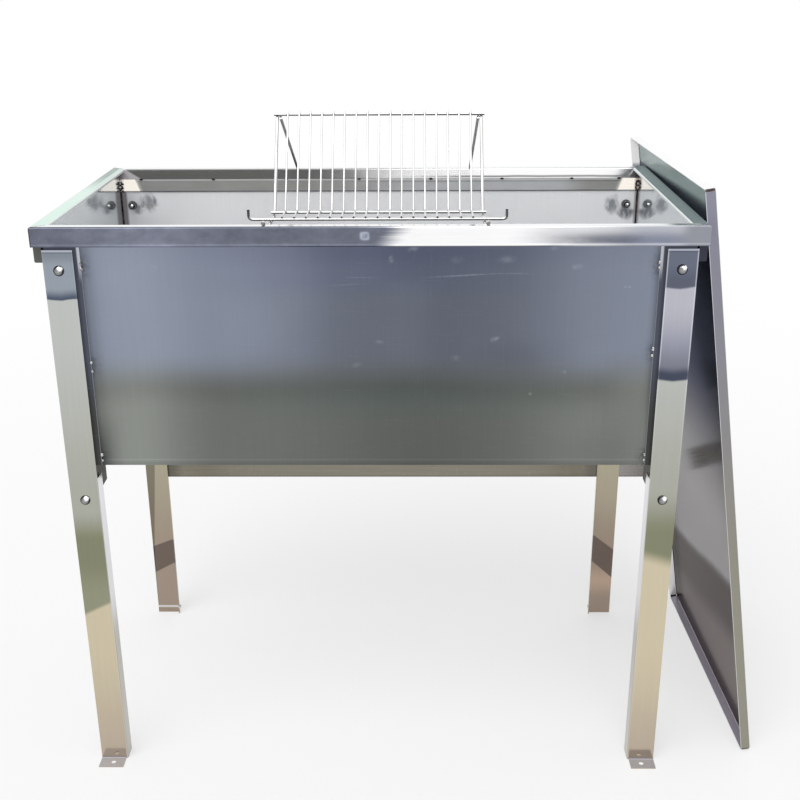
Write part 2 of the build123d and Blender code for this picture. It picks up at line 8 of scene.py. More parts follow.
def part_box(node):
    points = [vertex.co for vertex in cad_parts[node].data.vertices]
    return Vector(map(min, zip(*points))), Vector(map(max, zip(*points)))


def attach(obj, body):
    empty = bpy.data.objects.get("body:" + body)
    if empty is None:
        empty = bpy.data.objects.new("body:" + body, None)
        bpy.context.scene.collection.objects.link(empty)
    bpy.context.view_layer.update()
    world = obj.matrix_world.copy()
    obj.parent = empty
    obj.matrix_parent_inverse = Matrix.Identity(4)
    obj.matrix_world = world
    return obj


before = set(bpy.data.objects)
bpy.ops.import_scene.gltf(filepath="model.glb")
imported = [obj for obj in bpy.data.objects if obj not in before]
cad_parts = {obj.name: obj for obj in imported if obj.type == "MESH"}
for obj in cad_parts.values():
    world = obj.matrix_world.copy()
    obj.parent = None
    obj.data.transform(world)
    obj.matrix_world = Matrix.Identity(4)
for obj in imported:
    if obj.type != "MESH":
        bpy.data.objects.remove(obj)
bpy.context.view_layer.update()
scene = bpy.context.scene
scene.view_settings.view_transform = "Standard"

# Places on the tank, in metres, that the finishes and the welds share
SHEET = 0.001
RIM_FOLD_DEEP = 0.019
RIM_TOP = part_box("rim_front")[1].z
RIM_OUT_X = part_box("rim_right")[1].x
RIM_OUT_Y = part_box("rim_rear")[1].y
RIM_IN_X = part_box("rim_right")[0].x
RIM_IN_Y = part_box("rim_rear")[0].y
RIM_STRIP_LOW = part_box("rim_front")[0].z
RIM_FOLD_LOW = RIM_TOP - RIM_FOLD_DEEP
RIM_FACE_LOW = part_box("rim_right")[0].z
TUB_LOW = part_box("front_wall")[0].z
WALL_OUT_Y = -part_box("front_wall")[0].y
WRAP_OUT_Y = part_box("left_end_panel")[1].y
PANEL_OUT_X = -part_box("left_end_panel")[0].x
WRAP_EDGE_X = -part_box("left_end_panel")[1].x
LEG_IN_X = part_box("leg_front_right")[0].x
LEG_OUT_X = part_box("leg_front_right")[1].x
LEG_MID_X = (LEG_IN_X + LEG_OUT_X) / 2
LEG_HALF = (LEG_OUT_X - LEG_IN_X) / 2
LEG_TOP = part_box("leg_front_left")[1].z
BRACE_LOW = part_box("rear_brace")[0].z
UPPER_BOLT_Z = 0.8895
PIPE_LOW, PIPE_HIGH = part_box("outlet_pipe")
PIPE_MID_Z = (PIPE_LOW.z + PIPE_HIGH.z) / 2
PIPE_RADIUS = (PIPE_HIGH.y - PIPE_LOW.y) / 2

# The lid leans: its lower front corner, the way its inside faces, and its sizes
LID_FOOT = Vector((0.650, -0.219, 0.0))
LID_IN = Vector((-0.98754, -0.03157, -0.15419))
LID_DEPTH = 0.016
LID_WIDE = 0.528
LID_LONG = 1.016
LID_NOTCH = 0.004

# Rods of the wire rest
REST_MID_X = 0.010
REST_PITCH = 0.0185
REST_RODS_A_SIDE = 8
REST_LEAN = math.radians(34)

# Weld tacks: heights down each seam, heights of the soot round them, and places along the rims
TACK_HEIGHTS = {
    "left": (0.900, 0.892, 0.7438, 0.7295, 0.588, 0.578),
    "right": (0.900, 0.892, 0.7645, 0.7538, 0.588, 0.578),
}
SOOT_HEIGHTS = {"upper": 0.896, "left": 0.738, "right": 0.759, "lower": 0.583}
SPOT_TACKS_X = (-0.445, -0.309, -0.172, -0.036, 0.098, 0.231, 0.361, 0.449)

# The four corners of the tub: face and end, each with its sign in y or x
CORNERS = [
    (face, way, end, hand)
    for face, way in (("front", -1), ("rear", 1))
    for end, hand in (("left", -1), ("right", 1))
]

# Rolling lines of a sheet, in lines per metre along x, y and z: few along the way it was rolled
UPRIGHT_GRAIN = (420, 420, 7)
LONG_GRAIN = (7, 420, 420)
CROSS_GRAIN = (420, 7, 420)


def tone(red, green, blue):
    """A display colour from 0 to 255, as the linear colour that a shader takes."""
    shares = [part / 255 for part in (red, green, blue)]
    linear = [s / 12.92 if s <= 0.04045 else ((s + 0.055) / 1.055) ** 2.4 for s in shares]
    return (*linear, 1.0)


PALE = tone(238, 239, 242)
WHITE = tone(253, 253, 254)
HEAT_BROWN = tone(104, 72, 58)
HEAT_PLUM = tone(92, 76, 84)
BURNT = tone(34, 28, 30)
STUDIO_WHITE = (1.0, 1.0, 1.0, 1.0)


class Reading:
    """A shader value. Arithmetic on it adds the Math nodes that work it out."""

    def __init__(self, bench, socket):
        self.bench = bench
        self.socket = socket

    def __add__(self, other):
        return self.bench.maths("ADD", self, other)

    def __radd__(self, other):
        return self.bench.maths("ADD", other, self)

    def __sub__(self, other):
        return self.bench.maths("SUBTRACT", self, other)

    def __rsub__(self, other):
        return self.bench.maths("SUBTRACT", other, self)

    def __mul__(self, other):
        return self.bench.maths("MULTIPLY", self, other)

    def __rmul__(self, other):
        return self.bench.maths("MULTIPLY", other, self)

    def __truediv__(self, other):
        return self.bench.maths("DIVIDE", self, other)

    def __neg__(self):
        return self.bench.maths("MULTIPLY", -1, self)

    def __abs__(self):
        return self.bench.maths("ABSOLUTE", self)

    def larger(self, other):
        return self.bench.maths("MAXIMUM", self, other)

    def rise(self, low, high):
        """0 before low, 1 past high, and a smooth step between them; it falls where high is the lesser."""
        return self.bench.node(
            "ShaderNodeMapRange",
            {"interpolation_type": "SMOOTHSTEP"},
            {"Value": self, "From Min": low, "From Max": high},
        )

    def hump(self, middle, reach):
        """1 at the middle, falling smoothly to 0 at that reach on either side."""
        return 1 - abs(self - middle).rise(0.0, reach)

    def between(self, first, second):
        """The first value where this is 0, the second where it is 1, and a blend of both elsewhere."""
        return first * (1 - self) + second * self


class Bench:
    """Where the nodes of one material or world are laid out and joined."""

    def __init__(self, owner):
        owner.use_nodes = True
        self.tree = owner.node_tree
        self.tree.nodes.clear()

    def node(self, kind, settings=None, sockets=None, out=0):
        """Adds a node: its settings first, then the values or links of its sockets."""
        made = self.tree.nodes.new(kind)
        for name, value in (settings or {}).items():
            if name == "stops":
                self.set_stops(made.color_ramp, value)
            else:
                setattr(made, name, value)
        for name, value in (sockets or {}).items():
            if isinstance(value, Reading):
                self.tree.links.new(value.socket, made.inputs[name])
            else:
                made.inputs[name].default_value = value
        return Reading(self, made.outputs[out]) if made.outputs else None

    def set_stops(self, ramp, stops):
        ramp.interpolation = "EASE"
        for element, (place, colour) in zip(ramp.elements, (stops[0], stops[-1])):
            element.position = place
            element.color = colour
        for place, colour in stops[1:-1]:
            ramp.elements.new(place).color = colour

    def maths(self, operation, first, second=None):
        sockets = {0: first} if second is None else {0: first, 1: second}
        return self.node("ShaderNodeMath", {"operation": operation}, sockets)

    def mix(self, factor, first, second):
        return self.node("ShaderNodeMix", {"data_type": "RGBA"}, {0: factor, 6: first, 7: second}, 2)

    def dim(self, colour, share):
        """The colour, brighter or darker by a share."""
        start = colour if isinstance(colour, Reading) else colour[:3]
        return self.node("ShaderNodeVectorMath", {"operation": "SCALE"}, {0: start, "Scale": share})

    def ramp(self, value, stops):
        return self.node("ShaderNodeValToRGB", {"stops": stops}, {"Fac": value})

    def split(self, vector):
        return [self.node("ShaderNodeSeparateXYZ", None, {0: vector}, axis) for axis in range(3)]

    def stretch(self, vector, shares):
        return self.node("ShaderNodeVectorMath", {"operation": "MULTIPLY"}, {0: vector, 1: shares})

    def distance(self, across, up):
        """How far off a place is, from how far it is across and up."""
        return self.maths("SQRT", across * across + up * up)

    def noise(self, vector, scale, detail=2.0, roughness=0.5, distortion=0.0):
        sockets = {
            "Vector": vector,
            "Scale": scale,
            "Detail": detail,
            "Roughness": roughness,
            "Distortion": distortion,
        }
        return self.node("ShaderNodeTexNoise", None, sockets)

    def ray(self, kind):
        """1 for one kind of light ray, 0 for the others."""
        return self.node("ShaderNodeLightPath", None, None, f"Is {kind} Ray")

    def shown(self):
        """1 where the eye meets the studio straight on, in a mirror or through glass."""
        return self.ray("Camera").larger(self.ray("Glossy")).larger(self.ray("Transmission"))


class Finish(Bench):
    """One procedural finish, read in the tank's own frame, so it moves with its piece."""

    def __init__(self, name):
        self.material = bpy.data.materials.new(name)
        super().__init__(self.material)
        self.place = self.node("ShaderNodeTexCoord", None, None, "Object")
        self.x, self.y, self.z = self.split(self.place)
        turned = self.node("ShaderNodeTexCoord", None, None, "Normal")
        self.nx, self.ny, self.nz = self.split(turned)
        flat = abs(self.nx).larger(abs(self.ny)).larger(abs(self.nz))
        self.bend = (1 - flat).rise(0.03, 0.26)

    def on_front(self):
        """1 on the front half of the tank, 0 behind."""
        return self.y.rise(0.0, -0.1)

    def on_right(self):
        """1 on the right half of the tank, 0 on the left."""
        return self.x.rise(0.0, 0.1)

    def streaks(self, per_metre, detail=2.0, roughness=0.5):
        """Noise with its own count of spots per metre along x, y and z."""
        return self.noise(self.stretch(self.place, per_metre), 1.0, detail, roughness)

    def surface(self, colour, roughness, metallic, height, strength, distance, edge=1.0, bow=None):
        """Closes the finish: height is fine relief, bow is a broad curve under it, both as bump."""
        relief = {"Strength": strength, "Distance": distance, "Height": height}
        if bow is not None:
            broad = {"Strength": 1.0, "Distance": 1.0, "Height": bow}
            relief["Normal"] = self.node("ShaderNodeBump", None, broad)
        sockets = {
            "Base Color": colour,
            "Roughness": roughness,
            "Metallic": metallic,
            "Specular Tint": (edge, edge, edge, 1.0),
            "Normal": self.node("ShaderNodeBump", None, relief),
        }
        shader = self.node("ShaderNodeBsdfPrincipled", None, sockets)
        self.node("ShaderNodeOutputMaterial", None, {"Surface": shader})
        return self.material

    def sheet(self, colour, roughness, grain, mottle, gleam, dents=0.5, metallic=1.0, edge=1.0, bow=None):
        """What every sheet shows: rolling lines, hand smudges, hairline scratches, and painted highlights
        on its bends.
        """
        lines = self.streaks(grain, 3.0, 0.6)
        smudge = self.noise(self.place, 6.5, 5.0, 0.58, 0.4)
        cloud = self.noise(self.place, 2.1, 2.0, 0.5)
        shade = 1 + 0.10 * (lines - 0.5) + mottle * (smudge - 0.5) + mottle * (cloud - 0.5)
        colour = self.dim(colour, shade)
        scratch = self.streaks((1100, 1100, 22), 2.0, 0.4).rise(0.68, 0.74)
        scratch = scratch.larger(self.streaks((19, 19, 1100), 2.0, 0.4).rise(0.68, 0.74))
        colour = self.mix(0.03 * scratch, colour, PALE)
        colour = self.mix(gleam * self.bend, colour, PALE)
        rough = roughness + 0.10 * (smudge - 0.5) + 0.08 * (lines - 0.5) + 0.03 * scratch
        ripple = self.noise(self.place, 9.0, 1.0, 0.4)
        height = 0.12 * lines + dents * ripple - 0.03 * scratch
        return self.surface(colour, rough, metallic, height, 0.12, 0.0012, edge, bow)


# Painted reflections where a tightened bolt has pulled the bright wall sheet in: 1 for the right end or -1
# for the left, metres inward from the bolt and up from it, reach along and reach up, tone and strength
BOLT_PULL_REFLECTIONS = (
    (-1, 0.0280, 0.0040, 0.0180, 0.0165, tone(146, 148, 152), 0.85),
    (-1, 0.0400, 0.0060, 0.0040, 0.0150, tone(104, 108, 116), 0.55),
    (-1, 0.0100, -0.0080, 0.0090, 0.0090, tone(104, 108, 116), 0.75),
    (-1, 0.0060, 0.0090, 0.0090, 0.0080, WHITE, 0.90),
    (-1, 0.0245, -0.0165, 0.0055, 0.0120, WHITE, 0.90),
    (-1, 0.0385, -0.0190, 0.0045, 0.0105, WHITE, 0.90),
    (1, 0.0260, -0.0010, 0.0125, 0.0175, tone(128, 131, 137), 0.85),
    (1, 0.0000, -0.0165, 0.0160, 0.0125, tone(100, 103, 110), 0.85),
    (1, 0.0020, 0.0150, 0.0150, 0.0100, WHITE, 0.90),
)

# Rubs and scratches on the front wall: x, z, half width, half height, slope, strength
WALL_MARKS = (
    (0.0323, 0.9050, 0.0036, 0.0056, 0.00, 0.45),
    (0.1892, 0.7805, 0.0068, 0.0036, 0.25, 0.45),
    (0.0135, 0.7764, 0.0068, 0.0028, 0.00, 0.22),
    (0.0655, 0.9212, 0.0075, 0.0040, 0.20, 0.32),
    (0.2047, 0.9046, 0.0110, 0.0052, 0.00, 0.25),
    (0.1303, 0.9048, 0.0090, 0.0060, 0.00, 0.13),
    (0.1298, 0.7502, 0.0068, 0.0042, 0.00, 0.18),
    (-0.0216, 0.7389, 0.0075, 0.0042, 0.20, 0.15),
    (0.3090, 0.8935, 0.0075, 0.0038, 0.10, 0.35),
    (0.3890, 0.8623, 0.0018, 0.0018, 0.00, 0.70),
    (0.3833, 0.8623, 0.0018, 0.0018, 0.00, 0.40),
    (0.2982, 0.7262, 0.0024, 0.0026, 0.00, 0.55),
    (0.2465, 0.6912, 0.0024, 0.0026, 0.00, 0.35),
    (0.2735, 0.9220, 0.0075, 0.0035, 0.00, 0.22),
    (-0.3230, 0.8932, 0.0050, 0.0050, 0.00, 0.15),
    (0.1400, 0.8805, 0.0500, 0.0013, 0.055, 0.38),
    (0.2150, 0.8833, 0.0250, 0.0012, 0.00, 0.20),
    (-0.0160, 0.8776, 0.0260, 0.0012, 0.00, 0.18),
    (-0.0380, 0.8663, 0.0260, 0.0012, 0.07, 0.15),
)

# Worn spot on the front rim: x, drop below the rim's top, half width, half height
WORN_SPOT = (-0.0060, 0.0139, 0.0072, 0.0062)

# Upright bands of painted reflection on a wall, above and below its middle: x, reach, share that the band
# adds to the tone
UPPER_REFLECTION_BANDS = ((0.09, 0.34, -0.50), (-0.36, 0.13, 0.22), (-0.06, 0.07, -0.06), (0.23, 0.11, -0.07))
LOWER_REFLECTION_BANDS = ((0.08, 0.26, -0.26), (-0.35, 0.12, 0.42), (-0.385, 0.085, 0.32))


def banded(along, bands):
    """1, with what each upright band adds round its middle."""
    share = 1
    for middle, reach, added in bands:
        share = share + added * along.hump(middle, reach)
    return share


def wall_outside(f):
    """Outer face of a wall, painted with reflections: cool above, olive-grey below, darker along its
    middle, with painted shade under the rim and a painted highlight and shade line at the hem.
    """
    wander = 0.05 * (f.noise(f.place, 3.2, 2.0) - 0.5)
    along = f.x + wander
    height = f.z + 0.6 * wander
    # Share of the cool painted reflection above, dark at the left end, then of the olive one below, paler
    # towards both ends
    high = banded(along, UPPER_REFLECTION_BANDS) - 0.25 * along.rise(-0.39, -0.45)
    high = high + 0.07 * along.hump(0.055, 0.07) * f.z.rise(0.885, 0.860)
    high = high + 0.06 * along.hump(-0.18, 0.09) * f.z.hump(0.80, 0.07)
    high = high - 0.08 * along.hump(0.24, 0.10) * f.z.hump(0.745, 0.05)
    low = banded(along, LOWER_REFLECTION_BANDS) + 0.22 * along.rise(0.36, 0.43)
    low = low + 0.16 * along.hump(0.32, 0.12) * f.z.rise(0.72, 0.62)
    low = low + 0.12 * along.hump(0.36, 0.11) * f.z.rise(0.59, 0.66)
    low = low - 0.85 * along.rise(-0.39, -0.44) * f.z.rise(0.70, 0.60)
    # The two painted reflections meet in a dark band a little below the middle; the top is bluer, and
    # painted shade darkens it just under the rim
    teal = 0.75 * height.hump(0.685, 0.05) * along.hump(0.05, 0.38)
    olive = f.mix(teal, tone(112, 115, 111), tone(106, 115, 113))
    cool = tone(134, 141, 156)
    colour = f.mix(height.rise(0.690, 0.765), f.dim(olive, low), f.dim(cool, high))
    colour = f.dim(colour, 1 - 0.15 * height.hump(0.703, 0.042) * along.rise(0.40, 0.35))
    colour = f.mix(0.10 * along.hump(0.0, 0.40) * f.z.rise(0.835, 0.875), colour, tone(60, 70, 140))
    colour = f.mix(0.16 * along.hump(0.05, 0.50) * f.z.rise(0.885, 0.915), colour, tone(48, 58, 96))
    # Painted highlight along the hem at the foot of the wall, with a painted shade line just below it
    hem = 0.22 * f.z.hump(TUB_LOW + 0.0095, 0.0016) - 0.12 * f.z.rise(TUB_LOW + 0.007, TUB_LOW + 0.003)
    return f.dim(colour, 1 + hem)


def shaded_and_sooted_seams(f, colour):
    """Painted shade along the seams where the end sheets wrap on to a wall, and soot round their tacks."""
    seam = abs(f.x).rise(WRAP_EDGE_X - 0.007, WRAP_EDGE_X)
    by_seam = abs(f.x).rise(WRAP_EDGE_X - 0.020, WRAP_EDGE_X)
    upper, lower = f.z.hump(SOOT_HEIGHTS["upper"], 0.03), f.z.hump(SOOT_HEIGHTS["lower"], 0.03)
    left, right = f.z.hump(SOOT_HEIGHTS["left"], 0.026), f.z.hump(SOOT_HEIGHTS["right"], 0.024)
    near_tacks = upper.larger(f.on_right().between(left, right)).larger(lower)
    soot = f.noise(f.place, 160.0, 3.0, 0.7).rise(0.35, 0.7)
    colour = f.dim(colour, 1 - 0.20 * seam - by_seam * near_tacks * (0.12 + 0.40 * soot))
    shade = (-f.x).rise(WRAP_EDGE_X - 0.026, WRAP_EDGE_X - 0.002)
    shade = shade.larger(f.x.rise(WRAP_EDGE_X - 0.014, WRAP_EDGE_X - 0.001))
    return f.dim(colour, 1 - 0.20 * shade * f.z.rise(0.62, 0.70))


def rubbed_wall(f, colour):
    """Pale rubs, small dents and thin scratches on the front wall."""
    uneven = f.streaks((140, 140, 140), 2.0, 0.6).rise(0.20, 0.60) * f.on_front()
    for middle, level, wide, tall, slope, strength in WALL_MARKS:
        beside = f.x - middle
        far = f.distance(beside / wide, (f.z - level - slope * beside) / tall)
        colour = f.mix(0.55 * strength * uneven * far.rise(1.60, 0.0), colour, tone(206, 209, 220))
    return colour


def bolt_pull_reflections(f, colour):
    """Painted reflections round the upper leg bolts: grey lobes and white streaks where the sheet is
    pulled in.
    """
    warp = 0.016 * (f.noise(f.place, 75.0, 2.0, 0.5) - 0.5)
    uneven = 0.45 + 0.55 * f.streaks((130, 130, 60)).rise(0.32, 0.58)
    inward = LEG_MID_X - abs(f.x) + warp
    height = f.z - UPPER_BOLT_Z - warp
    for hand, middle, level, wide, tall, shade, strength in BOLT_PULL_REFLECTIONS:
        far = f.distance((inward - middle) / wide, (height - level) / tall)
        beside = (hand * f.x).rise(0.0, 0.1)
        colour = f.mix(strength * uneven * beside * far.rise(1.35, 0.45), colour, shade)
    return colour


def heat_tint(f, colour, band):
    """Brown and plum heat colours in a band beside a corner weld."""
    drift = f.streaks((60, 60, 14), 3.0, 0.6)
    tint = f.mix(drift.rise(0.42, 0.60), HEAT_PLUM, HEAT_BROWN)
    return f.mix(band * (0.22 + 0.42 * drift.rise(0.30, 0.55)), colour, tint)


def wall_inside(f):
    """Inner face of a wall: near white, with painted reflections where the bolts pull it in, and tinted
    beside the corner welds.
    """
    colour = f.dim(WHITE, 1 - 0.06 * f.noise(f.place, 3.0, 2.0).rise(0.4, 0.7))
    colour = bolt_pull_reflections(f, colour)
    colour = heat_tint(f, colour, f.x.rise(PANEL_OUT_X - 0.008, PANEL_OUT_X - 0.004))
    left_corner = (-f.x).rise(PANEL_OUT_X - 0.014, PANEL_OUT_X - 0.009)
    return f.mix(0.8 * left_corner, colour, tone(112, 98, 104))


def wall_finish():
    """Wall sheet: satin outside, bright inside."""
    f = Finish("satin_wall_sheet")
    outside = rubbed_wall(f, shaded_and_sooted_seams(f, wall_outside(f)))
    out = (f.ny * f.y).rise(-0.05, 0.05)
    colour = f.mix(out, wall_inside(f), outside)
    rough = 0.16 + 0.17 * out
    return f.sheet(colour, rough, UPRIGHT_GRAIN, mottle=0.10, gleam=0.35, metallic=0.15 + 0.85 * out)


def panel_finish():
    """End sheets: mirror-bright inside, grey to blue-grey outside as painted reflection, and painted shade
    where they wrap on to the walls, with a painted highlight along the wrapped edges.
    """
    f = Finish("bright_end_sheet")
    # Outside: painted reflection, grey low down and blue-grey higher up, with painted shade towards the
    # top under the rim
    lower_grey, blue = tone(98, 100, 98), tone(122, 128, 142)
    outside = f.dim(f.mix(f.z.rise(0.60, 0.78), lower_grey, blue), 1 - 0.25 * f.z.rise(0.80, 0.93))
    inside = f.dim(tone(232, 236, 238), 1 - 0.05 * f.noise(f.place, 3.0, 2.0))
    inside = heat_tint(f, inside, abs(f.y).rise(WALL_OUT_Y - 0.0065, WALL_OUT_Y - 0.003))
    from_edge = abs(f.x) - WRAP_EDGE_X
    # Wraps: painted shade, darker away from their edges towards the legs, with a painted highlight along
    # the edges that is paler near the top
    wrap = f.mix(f.z.rise(0.64, 0.76), tone(68, 69, 67), tone(82, 86, 98))
    wrap = f.dim(wrap, 1 - 0.35 * from_edge.rise(0.004, 0.009))
    near_top = f.z.rise(0.868, 0.905)
    wrap = f.mix(0.75 * near_top * from_edge.rise(0.0055, 0.0035), wrap, tone(206, 209, 218))
    wrap = f.mix(0.45 * from_edge.rise(0.0016, 0.0004), wrap, tone(170, 174, 184))
    out = (f.nx * f.x).rise(-0.05, 0.05)
    wrapped = (f.ny * f.y).rise(0.10, 0.16)
    colour = f.mix(wrapped, f.mix(out, inside, outside), wrap)
    weathered = out.larger(wrapped)
    rough = 0.06 + 0.14 * weathered
    return f.sheet(colour, rough, CROSS_GRAIN, mottle=0.08, gleam=0.2, metallic=0.88 + 0.12 * weathered)


def floor_finish():
    """Floor pan and ledges: satin sheet."""
    f = Finish("satin_floor_sheet")
    cloud = f.noise(f.place, 2.6, 3.0, 0.5)
    colour = f.ramp(cloud, [(0.3, tone(186, 189, 193)), (0.7, tone(208, 211, 214))])
    return f.sheet(colour, 0.28, LONG_GRAIN, mottle=0.14, gleam=0.3, metallic=0.45)


def worn_spot(f, colour, blotches):
    """A rounded patch rubbed pale in the middle of the front rim."""
    middle, drop, wide, tall = WORN_SPOT
    across = (f.x - middle) / wide
    up = (f.z - RIM_TOP + drop) / tall
    far = f.maths("SQRT", f.distance(across * across, up * up))
    rubbed = far.rise(1.30, 0.65) * f.on_front()
    worn = 0.36 + 0.20 * far.hump(0.80, 0.35) + 1.2 * blotches
    return f.mix(worn * rubbed, colour, tone(206, 212, 230))


def rim_face(f, cloud):
    """Outer face of the rim, painted with reflections: cool slate with a white sweep right of the middle,
    painted highlights along its bends, and a painted shade line along its lower edge.
    """
    along = f.x + 0.05 * (f.streaks((3, 3, 30)) - 0.5)
    blotches = f.streaks((45, 45, 70), 3.0, 0.6) - 0.5
    share = 1 + 0.34 * along.hump(-0.33, 0.13) + 0.22 * along.rise(0.10, 0.36)
    slate = f.dim(tone(110, 114, 128), share + 0.45 * along.rise(0.36, 0.42))
    face = f.mix(0.6 * along.rise(0.44, 0.49), slate, tone(160, 160, 164))
    face = f.dim(face, 1 + 0.75 * blotches * along.rise(0.10, -0.02))
    # The painted white reflection leans, and a painted highlight follows it along the upper and lower
    # bends
    leaning = along - 0.9 * (f.z - RIM_FACE_LOW) + 0.030 * (f.streaks((6, 6, 420)) - 0.5)
    face = f.mix(leaning.rise(-0.002, 0.046) * along.rise(0.385, 0.20), face, WHITE)
    # A painted dark line at the left end, and painted darker patches near the top right of the middle
    left_edge = (-f.x).rise(RIM_OUT_X - 0.0025, RIM_OUT_X - 0.0010)
    face = f.mix(0.7 * left_edge, face, tone(62, 58, 72))
    dull = cloud.rise(0.35, 0.65) * f.z.rise(RIM_TOP - 0.005, RIM_TOP - 0.017)
    face = f.dim(face, 1 - 0.30 * f.x.rise(0.2, 0.33) * f.x.rise(0.42, 0.37) * dull)
    glow = 0.60 * f.z.rise(RIM_TOP - 0.021, RIM_TOP - 0.002)
    glow = glow + 0.40 * f.z.hump(RIM_FACE_LOW + 0.0015, 0.0050)
    glow = glow * f.x.rise(0.24, 0.32) * (1 - 0.45 * f.x.rise(0.35, 0.41)) * f.x.rise(0.475, 0.450)
    face = f.mix(glow, face, WHITE)
    # A painted highlight along the lower bend
    face = f.dim(face, 1 + 0.38 * f.z.hump(RIM_FACE_LOW + 0.0032, 0.0024))
    face = worn_spot(f, face, blotches)
    # A painted shade line along the lower edge, strongest near the middle
    lower_edge = f.z.rise(RIM_FACE_LOW + 0.0017, RIM_FACE_LOW + 0.0009)
    edge_shade = 0.35 + 0.5 * f.x.hump(0.08, 0.28).rise(0.0, 0.3)
    return f.mix(edge_shade * lower_edge, face, tone(52, 56, 70))


def rim_crown(f, from_end, left_end, right_end):
    """Top of the rim, painted with reflections: pale, mint and green along the left end, teal along the
    right.
    """
    crown = f.mix(left_end, tone(244, 247, 247), tone(210, 239, 225))
    outer_half = from_end.rise(0.018, 0.013) * f.y.rise(0.04, 0.19)
    green = left_end * (0.80 * outer_half + 0.25 * f.y.rise(0.0, 0.1))
    crown = f.mix(green, crown, tone(96, 134, 124))
    return f.mix(right_end, crown, tone(128, 143, 148))


def rim_strip(f, cloud, rightward, flare):
    """Strip lapped behind the inner fold, painted with reflections: stone grey, with painted shade just
    under the fold, a painted highlight along its upper edge, and bright ends.
    """
    strip = f.mix(rightward * f.x.rise(0.40, 0.33), tone(160, 160, 156), tone(192, 193, 195))
    under_fold = rightward * f.z.hump(RIM_FOLD_LOW - 0.0056, 0.0016)
    strip = f.dim(strip, 1 + 0.30 * (cloud - 0.5) - 0.45 * under_fold)
    upper_edge = f.z.rise(RIM_FOLD_LOW - 0.0034, RIM_FOLD_LOW - 0.0024)
    strip = f.mix(0.9 * upper_edge, strip, tone(236, 236, 234))
    return f.mix(flare.rise(-0.026, -0.015), strip, tone(250, 244, 234))


def rim_fold(f, rightward, on_strip, strip):
    """Inner side of the rim, painted with reflections: iron grey to the left, white to the right, pale on
    the end rims and in a wedge by the corners, with painted shade along the fold's lower part at the right
    and a painted shade line at the strip's lower edge; burnt beside the corners.
    """
    wave = f.z + 0.004 * (f.streaks((9, 9, 9)) - 0.5)
    fold = f.mix(rightward, tone(108, 108, 105), WHITE)
    fold = f.dim(fold, 1 - 0.74 * f.x.rise(0.0, 0.2) * wave.hump(RIM_FOLD_LOW + 0.0034, 0.0034))
    wedge = (abs(f.x) - RIM_IN_X + 1.6 * (RIM_TOP - wave)).rise(-0.005, 0.002)
    fold = f.mix(0.85 * wedge, fold, tone(214, 208, 210))
    fold = f.mix(on_strip, fold, strip)
    lower_edge = f.z.rise(RIM_STRIP_LOW + 0.0022, RIM_STRIP_LOW + 0.0012)
    fold = f.mix(0.85 * lower_edge, fold, tone(40, 40, 46))
    by_corner = abs(f.x).rise(RIM_IN_X + 0.0015, RIM_IN_X + 0.0065)
    fold = heat_tint(f, fold, by_corner * f.z.rise(RIM_TOP - 0.002, RIM_TOP - 0.006))
    return f.mix((-f.nx * f.x).rise(0.02, 0.10), fold, tone(232, 240, 238))


def rim_finish():
    """Bright folded rim: a streaky face, a pale top, and an inner fold with a strip lapped behind it."""
    f = Finish("bright_rim_sheet")
    from_end = RIM_OUT_X - abs(f.x)
    from_side = RIM_OUT_Y - abs(f.y)
    mitre = (RIM_OUT_X - RIM_IN_X) / (RIM_OUT_Y - RIM_IN_Y)
    on_end = (from_side * mitre - from_end).rise(-0.0008, 0.0008)
    left_end = on_end * (1 - f.on_right())
    right_end = on_end * f.on_right()
    front_left = f.y.rise(-0.1, -0.2) * f.x.rise(0.10, -0.05) * (1 - on_end)
    rightward = f.x.rise(-0.14, 0.10)
    on_strip = f.z.rise(RIM_FOLD_LOW, RIM_FOLD_LOW - 0.0004)
    flare = abs(f.x) - RIM_IN_X - 0.4 * (f.z - RIM_FOLD_LOW)
    cloud = f.streaks((16, 16, 60), 3.0, 0.55)
    top = f.nz.rise(0.86, 0.97)
    inner = (-f.ny * f.y).larger(-f.nx * f.x).rise(0.02, 0.10)

    face = rim_face(f, cloud)
    fold = rim_fold(f, rightward, on_strip, rim_strip(f, cloud, rightward, flare))
    crown = rim_crown(f, from_end, left_end, right_end)
    # Along the front left, the outer edge of the top takes the face's painted reflection
    crown = f.mix(front_left * from_side.rise(0.0045, 0.0020), crown, face)
    colour = f.mix(top, f.mix(inner, face, fold), crown)
    # Painted shade on the undersides, and the bends along the front left painted darker
    colour = f.mix((-f.nz).rise(0.5, 0.9), colour, tone(60, 63, 72))
    colour = f.dim(colour, 1 - 0.65 * f.bend * front_left * f.nz.rise(0.0, 0.1))

    # The folds are bowed a little, so that they mirror another part of the studio
    bowed = on_strip.between(rightward, flare.rise(-0.0195, -0.0185))
    bowed = bowed * inner * (-f.ny).rise(0.5, 0.9)
    bow = bowed * (0.22 * on_strip * (abs(f.x) - RIM_IN_X + 0.015) - 0.24 * (f.z - RIM_FOLD_LOW))
    metal = 1 - 0.90 * (inner - 0.95 * bowed).larger(0.75 * top * right_end)
    gleam = 0.30 - 0.30 * front_left
    return f.sheet(colour, 0.15, LONG_GRAIN, mottle=0.10, gleam=gleam, dents=0.4, metallic=metal, bow=bow)


def rail_finish():
    """Channels under the end rims: dull grey sheet at the left, dark navy at the right as painted shade.
    """
    f = Finish("dull_rail_sheet")
    grey = f.dim(tone(84, 86, 83), 0.9 + 0.2 * f.noise(f.place, 18.0, 3.0))
    colour = f.mix(f.on_right(), grey, tone(38, 42, 58))
    return f.sheet(colour, 0.34, CROSS_GRAIN, mottle=0.16, gleam=0.0, dents=0.4, metallic=0.25)


